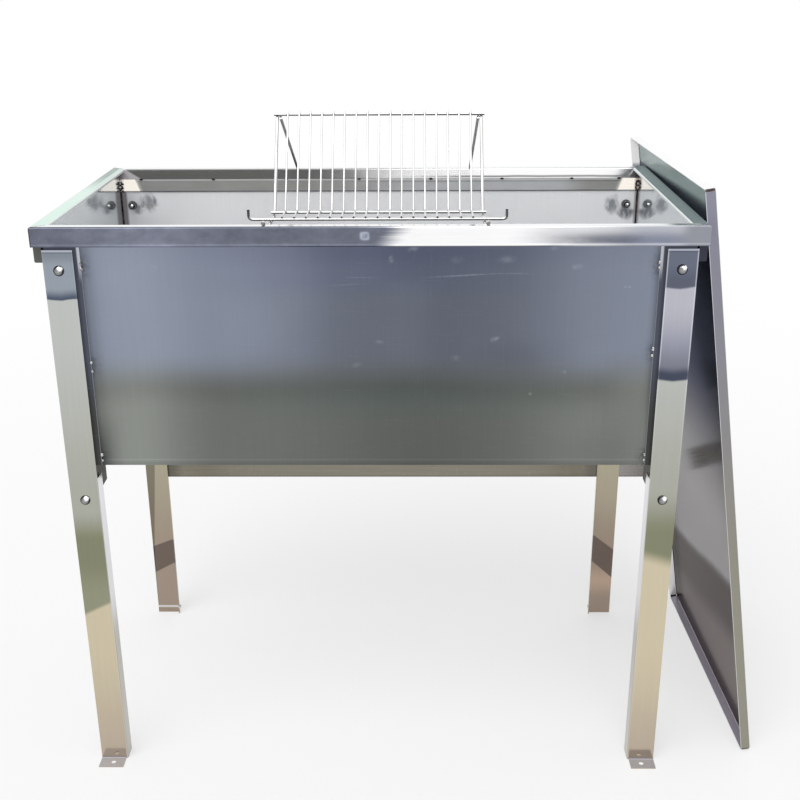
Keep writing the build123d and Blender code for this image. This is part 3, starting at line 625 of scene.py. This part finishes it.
def front_leg(f, from_mid, right):
    """Front legs, painted with reflections: cool at the top, pale, a soft olive band, then warm down to
    the feet.
    """
    wave = f.streaks((22, 22, 3)) - 0.5
    level = f.z + 0.006 * wave - 0.10 * abs(from_mid)
    straw = f.mix(f.z.rise(0.0, 0.24), tone(188, 174, 157), tone(208, 197, 170))
    silver = f.mix(f.z.rise(0.50, 0.82), tone(173, 174, 164), tone(192, 195, 192))
    body = f.mix(f.z.rise(0.41, 0.47), straw, silver)
    band_left = (f.z + 0.5 * from_mid).rise(0.302, 0.311) * f.z.rise(0.49, 0.435)
    band_right = (f.z + 0.3 * from_mid).rise(0.386, 0.416) * f.z.rise(0.53, 0.445)
    olive = f.mix(f.z.rise(0.40, 0.33), tone(135, 137, 113), tone(150, 151, 128))
    body = f.mix(right.between(band_left, band_right), body, olive)

    # The left leg's painted reflection is cool at its top, with painted shade under the rim; the right one
    # is violet over a dark line, and slate above that
    cool = f.mix(level.rise(0.843, 0.862), tone(78, 88, 106), tone(152, 160, 171))
    cool = f.dim(cool, 1 - 0.25 * f.z.rise(0.895, 0.915))
    left_leg = f.mix(level.rise(0.8415, 0.8445), body, cool)
    violet = f.mix(level.rise(0.82, 0.76), tone(188, 188, 199), tone(188, 190, 209))
    violet = f.dim(violet, 0.38 + 0.62 * level.rise(0.714, 0.84))
    violet = f.mix(0.9 * level.rise(0.738, 0.722), violet, tone(66, 72, 90))
    right_leg = f.mix(level.rise(0.7105, 0.7150), body, violet)
    slate = f.dim(tone(108, 113, 130), 0.80 + 0.22 * f.z.rise(0.87, 0.90))
    right_leg = f.mix(level.rise(0.8585, 0.8625), right_leg, slate)
    leg = f.mix(right, left_leg, right_leg)

    # Painted highlights on the cut edges and the top edge, painted shade under the rim, and the lip that
    # is folded back below the tub, paler higher up as painted reflection
    edge = abs(from_mid).rise(LEG_HALF - 0.0022, LEG_HALF - 0.0014) * f.z.rise(0.5, 0.8)
    edge = edge * (1 - 0.85 * level.hump(0.722, 0.024))
    leg = f.mix((0.05 + 0.40 * right) * edge, leg, PALE)
    leg = f.dim(leg, 1 - 0.3 * f.z.hump(LEG_TOP - 0.0042, 0.0016))
    leg = f.mix(0.8 * f.z.rise(LEG_TOP - 0.0034, LEG_TOP - 0.0026), leg, tone(186, 190, 204))
    lip = f.mix(f.z.rise(0.24, 0.34), tone(172, 168, 160), tone(228, 227, 230))
    under_tub = f.z.rise(TUB_LOW - 0.010, TUB_LOW - 0.020)
    return f.mix(abs(f.nx).rise(0.7, 0.95) * under_tub, leg, lip)


def rear_leg(f, from_mid, right):
    """Rear legs, painted with reflections: warm grey, a slanted umber band low down, painted shade along
    the outer side of the left leg, and a painted highlight on the bend at the left foot.
    """
    leg = f.mix(f.z.rise(0.12, 0.40), tone(162, 147, 133), tone(174, 168, 146))
    leg = f.mix(f.z.rise(0.42, 0.62), leg, tone(180, 178, 170))
    leg = f.mix(right * f.z.hump(0.078, 0.045), leg, tone(190, 167, 148))
    band_left = (f.z + 0.55 * from_mid).rise(0.109, 0.112) * (f.z + 0.4 * from_mid).rise(0.171, 0.168)
    band_right = (f.z + 0.9 * from_mid).rise(0.105, 0.109) * (f.z + 0.8 * from_mid).rise(0.174, 0.169)
    leg = f.mix(0.92 * right.between(band_left, band_right), leg, tone(108, 96, 89))
    outer_side = (from_mid + 0.022 * f.z.rise(0.08, 0.45)).rise(0.0205, 0.0235)
    leg = f.dim(leg, 1 - 0.45 * (1 - right) * outer_side)
    return f.mix(0.8 * f.z.hump(0.014, 0.004) * (1 - right), leg, PALE)


def leg_finish():
    """Mirror-bright legs, duller at the tabs and bends of the feet."""
    f = Finish("bright_leg_sheet")
    from_mid = abs(f.x) - LEG_MID_X
    right, front = f.on_right(), f.on_front()
    colour = f.mix(front, rear_leg(f, from_mid, right), front_leg(f, from_mid, right))
    bend = f.z.rise(0.012, 0.008) * f.nz.rise(0.08, 0.3) * front
    colour = f.mix(bend, colour, tone(122, 118, 122))
    tab = f.nz.rise(0.6, 0.9) * f.z.rise(0.01, 0.005)
    colour = f.mix(tab, colour, tone(172, 170, 174))
    rough, gleam, metal = 0.13 + 0.3 * bend, 0.2 * (1 - bend), 1 - 0.7 * tab.larger(bend)
    return f.sheet(colour, rough, UPRIGHT_GRAIN, mottle=0.08, gleam=gleam, dents=0.6, metallic=metal)


def bracket_finish():
    """Leg brackets under the tub: dull sheet painted dark as shade under the tub, smoked along its top,
    where it is welded on.
    """
    f = Finish("dull_bracket_sheet")
    cloud = f.noise(f.place, 22.0, 4.0, 0.6)
    colour = f.ramp(cloud, [(0.3, tone(58, 58, 57)), (0.7, tone(84, 84, 81))])
    colour = f.mix(0.5 * f.z.rise(TUB_LOW - 0.018, TUB_LOW), colour, HEAT_BROWN)
    return f.sheet(colour, 0.42, (420, 420, 12), mottle=0.2, gleam=0.2, dents=0.4)


def brace_finish():
    """Strip behind the rear legs: satin warm grey, with painted shade beside the legs and along its lower
    edge.
    """
    f = Finish("satin_brace_strip")
    warm = f.mix(f.x.rise(0.40, 0.50), tone(138, 134, 122), tone(164, 161, 158))
    streak = f.streaks((7, 120, 240))
    beside = abs(f.x).hump(LEG_IN_X - 0.006, 0.030)
    colour = f.dim(warm, (0.9 + 0.2 * streak) * (1 - 0.38 * beside))
    colour = f.dim(colour, 1 - 0.35 * f.z.rise(BRACE_LOW + 0.005, BRACE_LOW + 0.002))
    return f.sheet(colour, 0.26, LONG_GRAIN, mottle=0.10, gleam=0.25, dents=0.4)


def fastener_finish():
    """Polished domed heads and cap nuts: a painted white highlight on the crown and a painted dark
    reflection ring round the foot.
    """
    f = Finish("polished_fastener")
    crown = abs(f.ny)
    side = f.ramp(crown, [
        (0.00, tone(120, 120, 124)),
        (0.50, tone(28, 28, 33)),
        (0.74, tone(44, 44, 50)),
        (0.86, tone(130, 131, 132)),
        (0.97, tone(150, 150, 150)),
    ])
    glint = (0.30 * f.nx + 0.82 * crown + 0.42 * f.nz).rise(0.86, 0.93)
    colour = f.mix(glint, side, tone(253, 253, 253))
    handled = f.noise(f.place, 420.0, 3.0)
    colour = f.dim(colour, 0.94 + 0.12 * handled)
    rough = 0.07 + 0.10 * handled
    return f.surface(colour, rough, metallic=1.0, height=handled, strength=0.04, distance=0.0003)


def washer_finish():
    """Plain stamped washers: satin, with turned rings."""
    f = Finish("stamped_washer")
    cloud = f.noise(f.place, 350.0, 3.0)
    colour = f.ramp(cloud, [(0.3, tone(120, 121, 124)), (0.7, tone(168, 169, 172))])
    return f.sheet(colour, 0.3, (420, 420, 420), mottle=0.1, gleam=0.3, dents=0.1)


def rest_finish():
    """Drawn bright wire with fine die lines, painted pale on top and darker underneath as light and shade.
    """
    f = Finish("bright_drawn_wire")
    die = f.streaks((900, 60, 900))
    colour = f.mix(f.nz.rise(-0.2, 0.75), tone(118, 118, 116), tone(236, 237, 236))
    colour = f.dim(colour, 0.93 + 0.14 * die)
    rough = 0.13 + 0.14 * f.noise(f.place, 60.0, 3.0)
    return f.surface(colour, rough, metallic=1.0, height=die, strength=0.08, distance=0.0003)


def strainer_finish():
    """Satin strainer sheet, smeared a little with wax."""
    f = Finish("satin_strainer_sheet")
    cloud = f.noise(f.place, 5.0, 3.0)
    colour = f.ramp(cloud, [(0.3, tone(206, 209, 213)), (0.7, tone(226, 229, 232))])
    wax = f.noise(f.place, 11.0, 5.0, 0.62, 0.8).rise(0.60, 0.72)
    colour = f.mix(0.10 * wax, colour, tone(206, 190, 150))
    rough = 0.28 + 0.12 * wax
    return f.sheet(colour, rough, LONG_GRAIN, mottle=0.12, gleam=0.3, dents=0.3, metallic=0.35)


def gate_finish():
    """Turned and milled outlet parts: fine tool marks round the pipe's axis."""
    f = Finish("machined_gate_metal")
    rings = f.maths("SINE", 2600.0 * f.distance(f.y, f.z - PIPE_MID_Z))
    facing = abs(f.nx).rise(0.8, 0.97)
    worn = f.noise(f.place, 70.0, 4.0, 0.6)
    colour = f.mix(facing, tone(128, 130, 134), tone(172, 174, 177))
    colour = f.dim(colour, 0.92 + 0.10 * worn + 0.05 * rings * facing)
    # Painted highlights on the bends
    colour = f.mix(0.35 * f.bend, colour, PALE)
    rough, height = 0.20 + 0.12 * worn, rings * facing + 0.6 * worn
    return f.surface(colour, rough, metallic=1.0, height=height, strength=0.06, distance=0.0003)


def seal_finish():
    """Black rubber ring."""
    f = Finish("seal_rubber_ring")
    bloom = f.noise(f.place, 240.0, 4.0, 0.6)
    colour = f.ramp(bloom, [(0.3, tone(20, 20, 21)), (0.7, tone(40, 40, 41))])
    return f.surface(colour, 0.62 + 0.2 * bloom, metallic=0.0, height=bloom, strength=0.2, distance=0.0006)


def lid_finish():
    """Tray lid, painted with reflections: teal-grey at its top, painted shade of deep navy behind the rim,
    violet-grey lower down, and painted highlights along its crest and edges.
    """
    f = Finish("bright_lid_sheet")
    level = f.z + 0.02 * (f.noise(f.place, 4.0, 2.0) - 0.5)
    slope = level + 0.25 * f.y
    # Inside: painted reflection, navy low down to near white higher up, with a paler band and painted
    # shade across its slope
    inside = f.mix(level.rise(0.69, 0.37), tone(103, 109, 134), tone(252, 249, 250))
    inside = f.mix(slope.rise(0.275, 0.245), inside, tone(200, 190, 188))
    inside = f.dim(inside, 1 - 0.40 * slope.rise(0.275, 0.255) * slope.rise(0.12, 0.19))
    # Beside the rim: painted shade of dark navy just above it, and a teal painted reflection higher
    above = ((f.z - RIM_TOP) / (0.006 + 0.016 * f.y.rise(0.25, -0.22))).rise(-0.1, 1.0)
    by_rim = f.z.rise(RIM_TOP - 0.030, RIM_TOP - 0.004)
    inside = f.mix(by_rim, inside, f.mix(above, tone(84, 94, 106), tone(176, 196, 190)))
    # Outer faces of the skirts and the back: painted reflections that change tone with height
    skirt = f.mix(level.rise(0.30, 0.95), tone(150, 147, 135), tone(140, 140, 154))
    back = f.mix(level.rise(0.10, 0.95), tone(150, 146, 140), tone(196, 204, 204))
    colour = f.mix((-f.nx).rise(0.6, 0.9), skirt, inside)
    colour = f.mix(f.nx.rise(0.6, 0.9), colour, back)
    # The far skirt's inner face is pale as painted reflection; the crest takes a painted highlight at the
    # top end and violet-grey at the foot
    inward = (-f.ny).rise(0.6, 0.9) * f.y.rise(0.1, 0.2)
    colour = f.mix(inward, colour, tone(226, 225, 226))
    crest = f.nz.rise(0.6, 0.9)
    colour = f.mix(crest * f.z.rise(0.9, 1.0), colour, WHITE)
    colour = f.mix(crest * f.z.rise(0.2, 0.1), colour, tone(152, 147, 160))
    # A painted highlight along the lid's edges
    depth = LID_DEPTH
    for place, start, way in zip((f.x, f.y, f.z), LID_FOOT, LID_IN):
        depth = depth + (place - start) * way
    colour = f.mix(0.8 * depth.rise(LID_DEPTH - 0.0010, LID_DEPTH - 0.0004), colour, PALE)
    metal = 1 - 0.92 * crest.larger(0.88 * by_rim) * (1 - inward)
    bow = inward * (0.18 * (f.x - 0.5) - 0.12 * (f.z - 1.0))
    return f.sheet(colour, 0.17, CROSS_GRAIN, mottle=0.12, gleam=0.12, metallic=metal, edge=0.30, bow=bow)


def weld_finish():
    """Silver weld beads with straw and blue heat colours at their feet."""
    f = Finish("silver_weld_bead")
    heat = f.noise(f.place, 190.0, 3.0, 0.6)
    colour = f.ramp(heat, [
        (0.28, tone(58, 56, 66)),
        (0.42, tone(128, 124, 126)),
        (0.56, tone(214, 213, 214)),
        (0.70, tone(176, 160, 134)),
    ])
    grit = f.noise(f.place, 900.0, 3.0, 0.6)
    return f.surface(colour, 0.2 + 0.25 * grit, metallic=1.0, height=grit, strength=0.15, distance=0.0003)


def burnt_weld_finish():
    """Dark weld beads in the inside corners, oxidised brown and black."""
    f = Finish("burnt_weld_bead")
    heat = f.noise(f.place, 120.0, 4.0, 0.6)
    colour = f.ramp(heat, [
        (0.30, BURNT),
        (0.50, tone(58, 50, 50)),
        (0.66, tone(98, 86, 82)),
        (0.80, tone(150, 146, 144)),
    ])
    grit = f.noise(f.place, 800.0, 3.0, 0.6)
    return f.surface(colour, 0.38 + 0.3 * grit, metallic=1.0, height=grit, strength=0.2, distance=0.0003)


# Finishes on the CAD nodes
dressed = set()
corner_names = [f"{face}_{end}" for face, way, end, hand in CORNERS]
rest_names = [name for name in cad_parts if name.startswith("rest_")]
gate_names = ["outlet_pipe", "gate_body", "gate_flap", "gate_pivot_bolt", "gate_stud", "gate_wing_nut"]
groups = (
    (wall_finish(), ["front_wall", "rear_wall"]),
    (panel_finish(), ["left_end_panel", "right_end_panel"]),
    (floor_finish(), ["floor_pan", "strainer_ledge_left", "strainer_ledge_right"]),
    (rim_finish(), ["rim_front", "rim_rear", "rim_left", "rim_right"]),
    (rail_finish(), ["end_rail_left", "end_rail_right"]),
    (leg_finish(), [f"leg_{corner}" for corner in corner_names]),
    (bracket_finish(), [f"leg_bracket_{corner}" for corner in corner_names]),
    (brace_finish(), ["rear_brace"]),
    (fastener_finish(), ["leg_bolts", "leg_cap_nuts"]),
    (washer_finish(), ["leg_washers"]),
    (rest_finish(), rest_names),
    (strainer_finish(), ["strainer_frame", "strainer_plate"]),
    (gate_finish(), gate_names),
    (seal_finish(), ["gate_seal"]),
    (lid_finish(), ["lid"]),
)
for material, names in groups:
    for name in names:
        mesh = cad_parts[name].data
        mesh.materials.clear()
        mesh.materials.append(material)
        dressed.add(name)
bare = sorted(set(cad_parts) - dressed)
if bare:
    raise RuntimeError(f"no finish on {bare}")

silver = weld_finish()
burnt = burnt_weld_finish()

# Weld beads: width, height and pitch of the ripples, in metres
SEAM_TACK = (0.0046, 0.0013, 0.0012)
MITRE_WELD = (0.0024, 0.0004, 0.0012)
CORNER_WELD = (0.0038, 0.0012, 0.0016)
LID_TACK = (0.0044, 0.0012, 0.0012)
RING_WELD = (0.0052, 0.0016, 0.0019)

# Sides round a bead, metres that its foot is sunk, and, as shares, the height of its ripples,
# how far they trail at its edges, and the least squared width at its ends
BEAD_SIDES = 12
BEAD_SUNK = 0.0003
RIPPLE_HEIGHT = 0.16
RIPPLE_TRAIL = 0.3
BEAD_END = 0.02

# Weld nuggets: half sizes along x, y and z, and the pile of them in each inner rim corner
SPOT_NUGGET = (0.0034, 0.0018, 0.0020)
ROD_NUGGET = (0.0023, 0.0014, 0.0013)
INNER_NUGGETS = 7
NUGGET_RISE = 0.0027


def lay_bead(mesh, points, normals, width, height, pitch, closed=False):
    """A rippled run of weld, half sunk in the sheets that it joins, rounded off at its ends."""
    count = len(points)
    lengths = [0.0]
    for first, second in zip(points, points[1:]):
        lengths.append(lengths[-1] + (second - first).length)
    total = lengths[-1]
    rings = []
    for i, (point, normal) in enumerate(zip(points, normals)):
        before = points[(i - 1) % count] if closed else points[max(i - 1, 0)]
        after = points[(i + 1) % count] if closed else points[min(i + 1, count - 1)]
        run = (after - before).normalized()
        up = (normal - run * normal.dot(run)).normalized()
        side = run.cross(up)
        end = min(lengths[i], total - lengths[i])
        taper = 1.0 if closed else math.sqrt(max(BEAD_END, 1 - max(0.0, 1 - 2 * end / width) ** 2))
        ring = []
        for step in range(BEAD_SIDES):
            turn = 2 * math.pi * step / BEAD_SIDES
            lag = RIPPLE_TRAIL * width * math.cos(turn) ** 2
            ripple = 1 + RIPPLE_HEIGHT * math.cos(2 * math.pi * (lengths[i] + lag) / pitch)
            lift = height * ripple if step <= BEAD_SIDES // 2 else BEAD_SUNK
            reach = side * (0.5 * width * math.cos(turn)) + up * (lift * math.sin(turn))
            ring.append(mesh.verts.new(point + reach * taper))
        rings.append(ring)
    pairs = list(zip(rings, rings[1:]))
    if closed:
        pairs.append((rings[-1], rings[0]))
    for first, second in pairs:
        for step in range(BEAD_SIDES):
            after = (step + 1) % BEAD_SIDES
            mesh.faces.new((first[step], second[step], second[after], first[after]))
    if not closed:
        mesh.faces.new(rings[0])
        mesh.faces.new(list(reversed(rings[-1])))


def lay_nugget(mesh, centre, radii, lump, cuts=3):
    """An uneven blob of weld metal; lump picks its shape."""
    made = bmesh.ops.create_icosphere(mesh, subdivisions=cuts, radius=1.0)
    for vert in made["verts"]:
        way = vert.co.normalized()
        swell = 1 + 0.45 * noise.noise(1.9 * way + Vector((3.1 * lump, 1.7 * lump, 0.6 * lump)))
        vert.co = Vector(centre) + swell * Vector([radius * part for radius, part in zip(radii, way)])


def straight_run(start, finish, normal, bead, step=0.0005):
    """What lay_bead needs for a straight bead."""
    start, finish = Vector(start), Vector(finish)
    pieces = max(6, int((finish - start).length / step))
    points = [start.lerp(finish, i / pieces) for i in range(pieces + 1)]
    return points, [Vector(normal)] * len(points), *bead


def bead_piece(name, runs, material, body="tank", nuggets=()):
    """One piece made of many beads: runs for lay_bead and nuggets for lay_nugget."""
    work = bmesh.new()
    for run in runs:
        lay_bead(work, *run)
    for nugget in nuggets:
        lay_nugget(work, *nugget)
    bmesh.ops.recalc_face_normals(work, faces=work.faces)
    mesh = bpy.data.meshes.new(name)
    work.to_mesh(mesh)
    work.free()
    mesh.polygons.foreach_set("use_smooth", [True] * len(mesh.polygons))
    mesh.materials.append(material)
    piece = bpy.data.objects.new(name, mesh)
    scene.collection.objects.link(piece)
    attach(piece, body)


# Tacks down the front and rear seams, where the end sheets wrap on to the walls
for face, way, end, hand in CORNERS:
    runs = []
    for i, level in enumerate(TACK_HEIGHTS[end]):
        sway = 0.0006 * math.sin(7.3 * i + 2.1 * hand + way)
        long = 0.0056 + 0.0012 * math.sin(3.7 * i + hand)
        x = hand * (WRAP_EDGE_X - 0.0003) + sway
        y = way * (WRAP_OUT_Y - 0.0002)
        foot = (x, y, level - long / 2)
        head = (x - hand * 0.0004, y, level + long / 2)
        runs.append(straight_run(foot, head, (-0.35 * hand, way, 0), SEAM_TACK))
    bead_piece(f"seam_tacks_{face}_{end}", runs, silver)

# Mitre welds over the rim corners, and burnt nuggets up the inner edges of the corners
for face, way, end, hand in CORNERS:
    outer = Vector((hand * (RIM_OUT_X - 0.0025), way * (RIM_OUT_Y - 0.0025), RIM_TOP - 0.0001))
    inner = Vector((hand * (RIM_IN_X + 0.003), way * (RIM_IN_Y + 0.003), RIM_TOP - 0.0001))
    runs = [straight_run(inner, outer, (0, 0, 1), MITRE_WELD)]
    bead_piece(f"rim_mitre_weld_{face}_{end}", runs, silver)
    nuggets = []
    for i in range(INNER_NUGGETS):
        x = hand * (PANEL_OUT_X - 0.0042 + 0.0018 * math.sin(2.3 * i + hand))
        y = way * (RIM_IN_Y + 0.0006 + 0.0006 * math.cos(1.9 * i))
        z = RIM_STRIP_LOW + 0.0015 + NUGGET_RISE * i
        wide = 0.0021 + 0.0008 * math.sin(4.1 * i + way + hand)
        nuggets.append(((x, y, z), (wide, 0.0016, 0.0018), i + 2 * hand + way))
    bead_piece(f"rim_inner_weld_{face}_{end}", [], burnt, "tank", nuggets)

# Long welds up the four inside corners of the tub
for face, way, end, hand in CORNERS:
    x = hand * (PANEL_OUT_X - 1.5 * SHEET)
    y = way * (WALL_OUT_Y - 1.5 * SHEET)
    foot = (x, y, TUB_LOW + 0.004)
    head = (x, y, RIM_STRIP_LOW + 0.004)
    runs = [straight_run(foot, head, (-hand, -way, 0), CORNER_WELD)]
    bead_piece(f"tub_corner_weld_{face}_{end}", runs, burnt)

# Tacks where the strip is lapped behind the inner fold of each long rim
for face, way in (("front", -1), ("rear", 1)):
    nuggets = []
    for i, x in enumerate(SPOT_TACKS_X):
        place = (x, way * (RIM_IN_Y + 0.0008), RIM_FOLD_LOW - 0.0004)
        nuggets.append((place, SPOT_NUGGET, i + way))
    bead_piece(f"rim_spot_tacks_{face}", [], burnt, "tank", nuggets)

# Burnt tacks that close the open corners of the lid; their dark beads also stand in for the shade in the
# corner notches
lid_up = (Vector((0, 0, 1)) - LID_IN * LID_IN.z).normalized()
lid_across = LID_IN.cross(lid_up)
lid_back = LID_FOOT - LID_DEPTH * LID_IN
runs = []
for along, rise in ((LID_NOTCH / 2, -1), (LID_LONG - LID_NOTCH / 2, 1)):
    for across, side in ((LID_NOTCH / 2, -1), (LID_WIDE - LID_NOTCH / 2, 1)):
        corner = lid_back + along * lid_up + across * lid_across
        start, finish = corner + SHEET * LID_IN, corner + (LID_DEPTH - SHEET) * LID_IN
        runs.append(straight_run(start, finish, rise * lid_up + side * lid_across, LID_TACK))
bead_piece("lid_corner_tacks_and_shade", runs, burnt, "lid")

# Tacks where the rods of the wire rest cross its rails, each with the way from the rail to the rod
upward = Vector((0, 0, 1))
leaning = Vector((0, -math.cos(REST_LEAN), math.sin(REST_LEAN)))
nuggets = []
for rail, way in (("rest_front_rail", upward), ("rest_knee_rail", upward), ("rest_top_rail", leaning)):
    low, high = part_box(rail)
    half = (high.y - low.y) / 2
    touch = Vector((REST_MID_X, low.y + half, low.z + half)) + half * way
    for i in range(-REST_RODS_A_SIDE, REST_RODS_A_SIDE + 1):
        place = touch + Vector((REST_PITCH * i, 0, 0))
        nuggets.append((place, ROD_NUGGET, i + 0.37 * half, 2))
bead_piece("rest_rod_tacks", [], silver, "frame_rest", nuggets)

# Ring weld round the outlet pipe, on the left end sheet
RING_STEPS = 260
ring_middle = Vector((-PANEL_OUT_X - 0.0004, 0, PIPE_MID_Z))
ring_points = []
ring_normals = []
for i in range(RING_STEPS):
    turn = 2 * math.pi * i / RING_STEPS
    out = Vector((0, math.cos(turn), math.sin(turn)))
    ring_points.append(ring_middle + out * (PIPE_RADIUS + 0.0006))
    ring_normals.append(out + Vector((-1, 0, 0)))
bead_piece("outlet_ring_weld", [(ring_points, ring_normals, *RING_WELD, True)], silver)

# White floor, which fades into the white around it, and even studio light
FLOOR_REACH = 90
floor_corners = [(x * FLOOR_REACH, y * FLOOR_REACH, 0) for x, y in ((-1, -1), (1, -1), (1, 1), (-1, 1))]
floor_mesh = bpy.data.meshes.new("studio_floor")
floor_mesh.from_pydata(floor_corners, [], [(0, 1, 2, 3)])
floor = bpy.data.objects.new("studio_floor", floor_mesh)
floor.location.z = -0.0002
scene.collection.objects.link(floor)
floor_material = bpy.data.materials.new("studio_floor_white")
bench = Bench(floor_material)
floor_x, floor_y, _ = bench.split(bench.node("ShaderNodeTexCoord", None, None, "Object"))
far_off = bench.distance(floor_x, floor_y).rise(1.0, 3.5)
matt = bench.node("ShaderNodeBsdfDiffuse", None, {"Color": (0.9, 0.9, 0.9, 1.0)})
white = bench.node("ShaderNodeEmission", None, {"Color": STUDIO_WHITE, "Strength": 1.0})
fade = 0.55 * bench.shown() + 0.45 * bench.ray("Camera") * far_off
both = bench.node("ShaderNodeMixShader", None, {0: fade, 1: matt, 2: white})
bench.node("ShaderNodeOutputMaterial", None, {"Surface": both})
floor_mesh.materials.append(floor_material)

world = bpy.data.worlds.new("studio_white")
scene.world = world
bench = Bench(world)
light = 0.7 + 0.3 * bench.shown()
around = bench.node("ShaderNodeBackground", None, {"Color": STUDIO_WHITE, "Strength": light})
bench.node("ShaderNodeOutputWorld", None, {"Surface": around})

lamp = bpy.data.lights.new("soft_key", "SUN")
lamp.energy = 1.35
lamp.angle = math.radians(50)
key = bpy.data.objects.new("soft_key", lamp)
key.rotation_euler = (math.radians(32), math.radians(-18), 0)
scene.collection.objects.link(key)

# Camera at the photograph's place, with the lens that fits it
PHOTO_WIDE_PX = 800
FOCAL_PX = 1141.688
CAMERA_PLACE = Vector((0.065475, -1.900464, 1.324429))
PITCH_DOWN, YAW_LEFT, ROLL = (math.radians(angle) for angle in (21.199, 0.729, -0.314))
ahead = Vector((
    -math.sin(YAW_LEFT) * math.cos(PITCH_DOWN),
    math.cos(YAW_LEFT) * math.cos(PITCH_DOWN),
    -math.sin(PITCH_DOWN),
))
level = Vector((math.cos(YAW_LEFT), math.sin(YAW_LEFT), 0))
upright = level.cross(ahead)
right = math.cos(ROLL) * level + math.sin(ROLL) * upright
up = -math.sin(ROLL) * level + math.cos(ROLL) * upright
lens = bpy.data.cameras.new("photo_camera")
lens.sensor_width = 36.0
lens.sensor_fit = "HORIZONTAL"
lens.lens = FOCAL_PX / PHOTO_WIDE_PX * lens.sensor_width
lens.clip_end = 400.0
camera = bpy.data.objects.new("photo_camera", lens)
turned = Matrix((right, up, -ahead)).transposed().to_4x4()
camera.matrix_world = Matrix.Translation(CAMERA_PLACE) @ turned
scene.collection.objects.link(camera)
scene.camera = camera
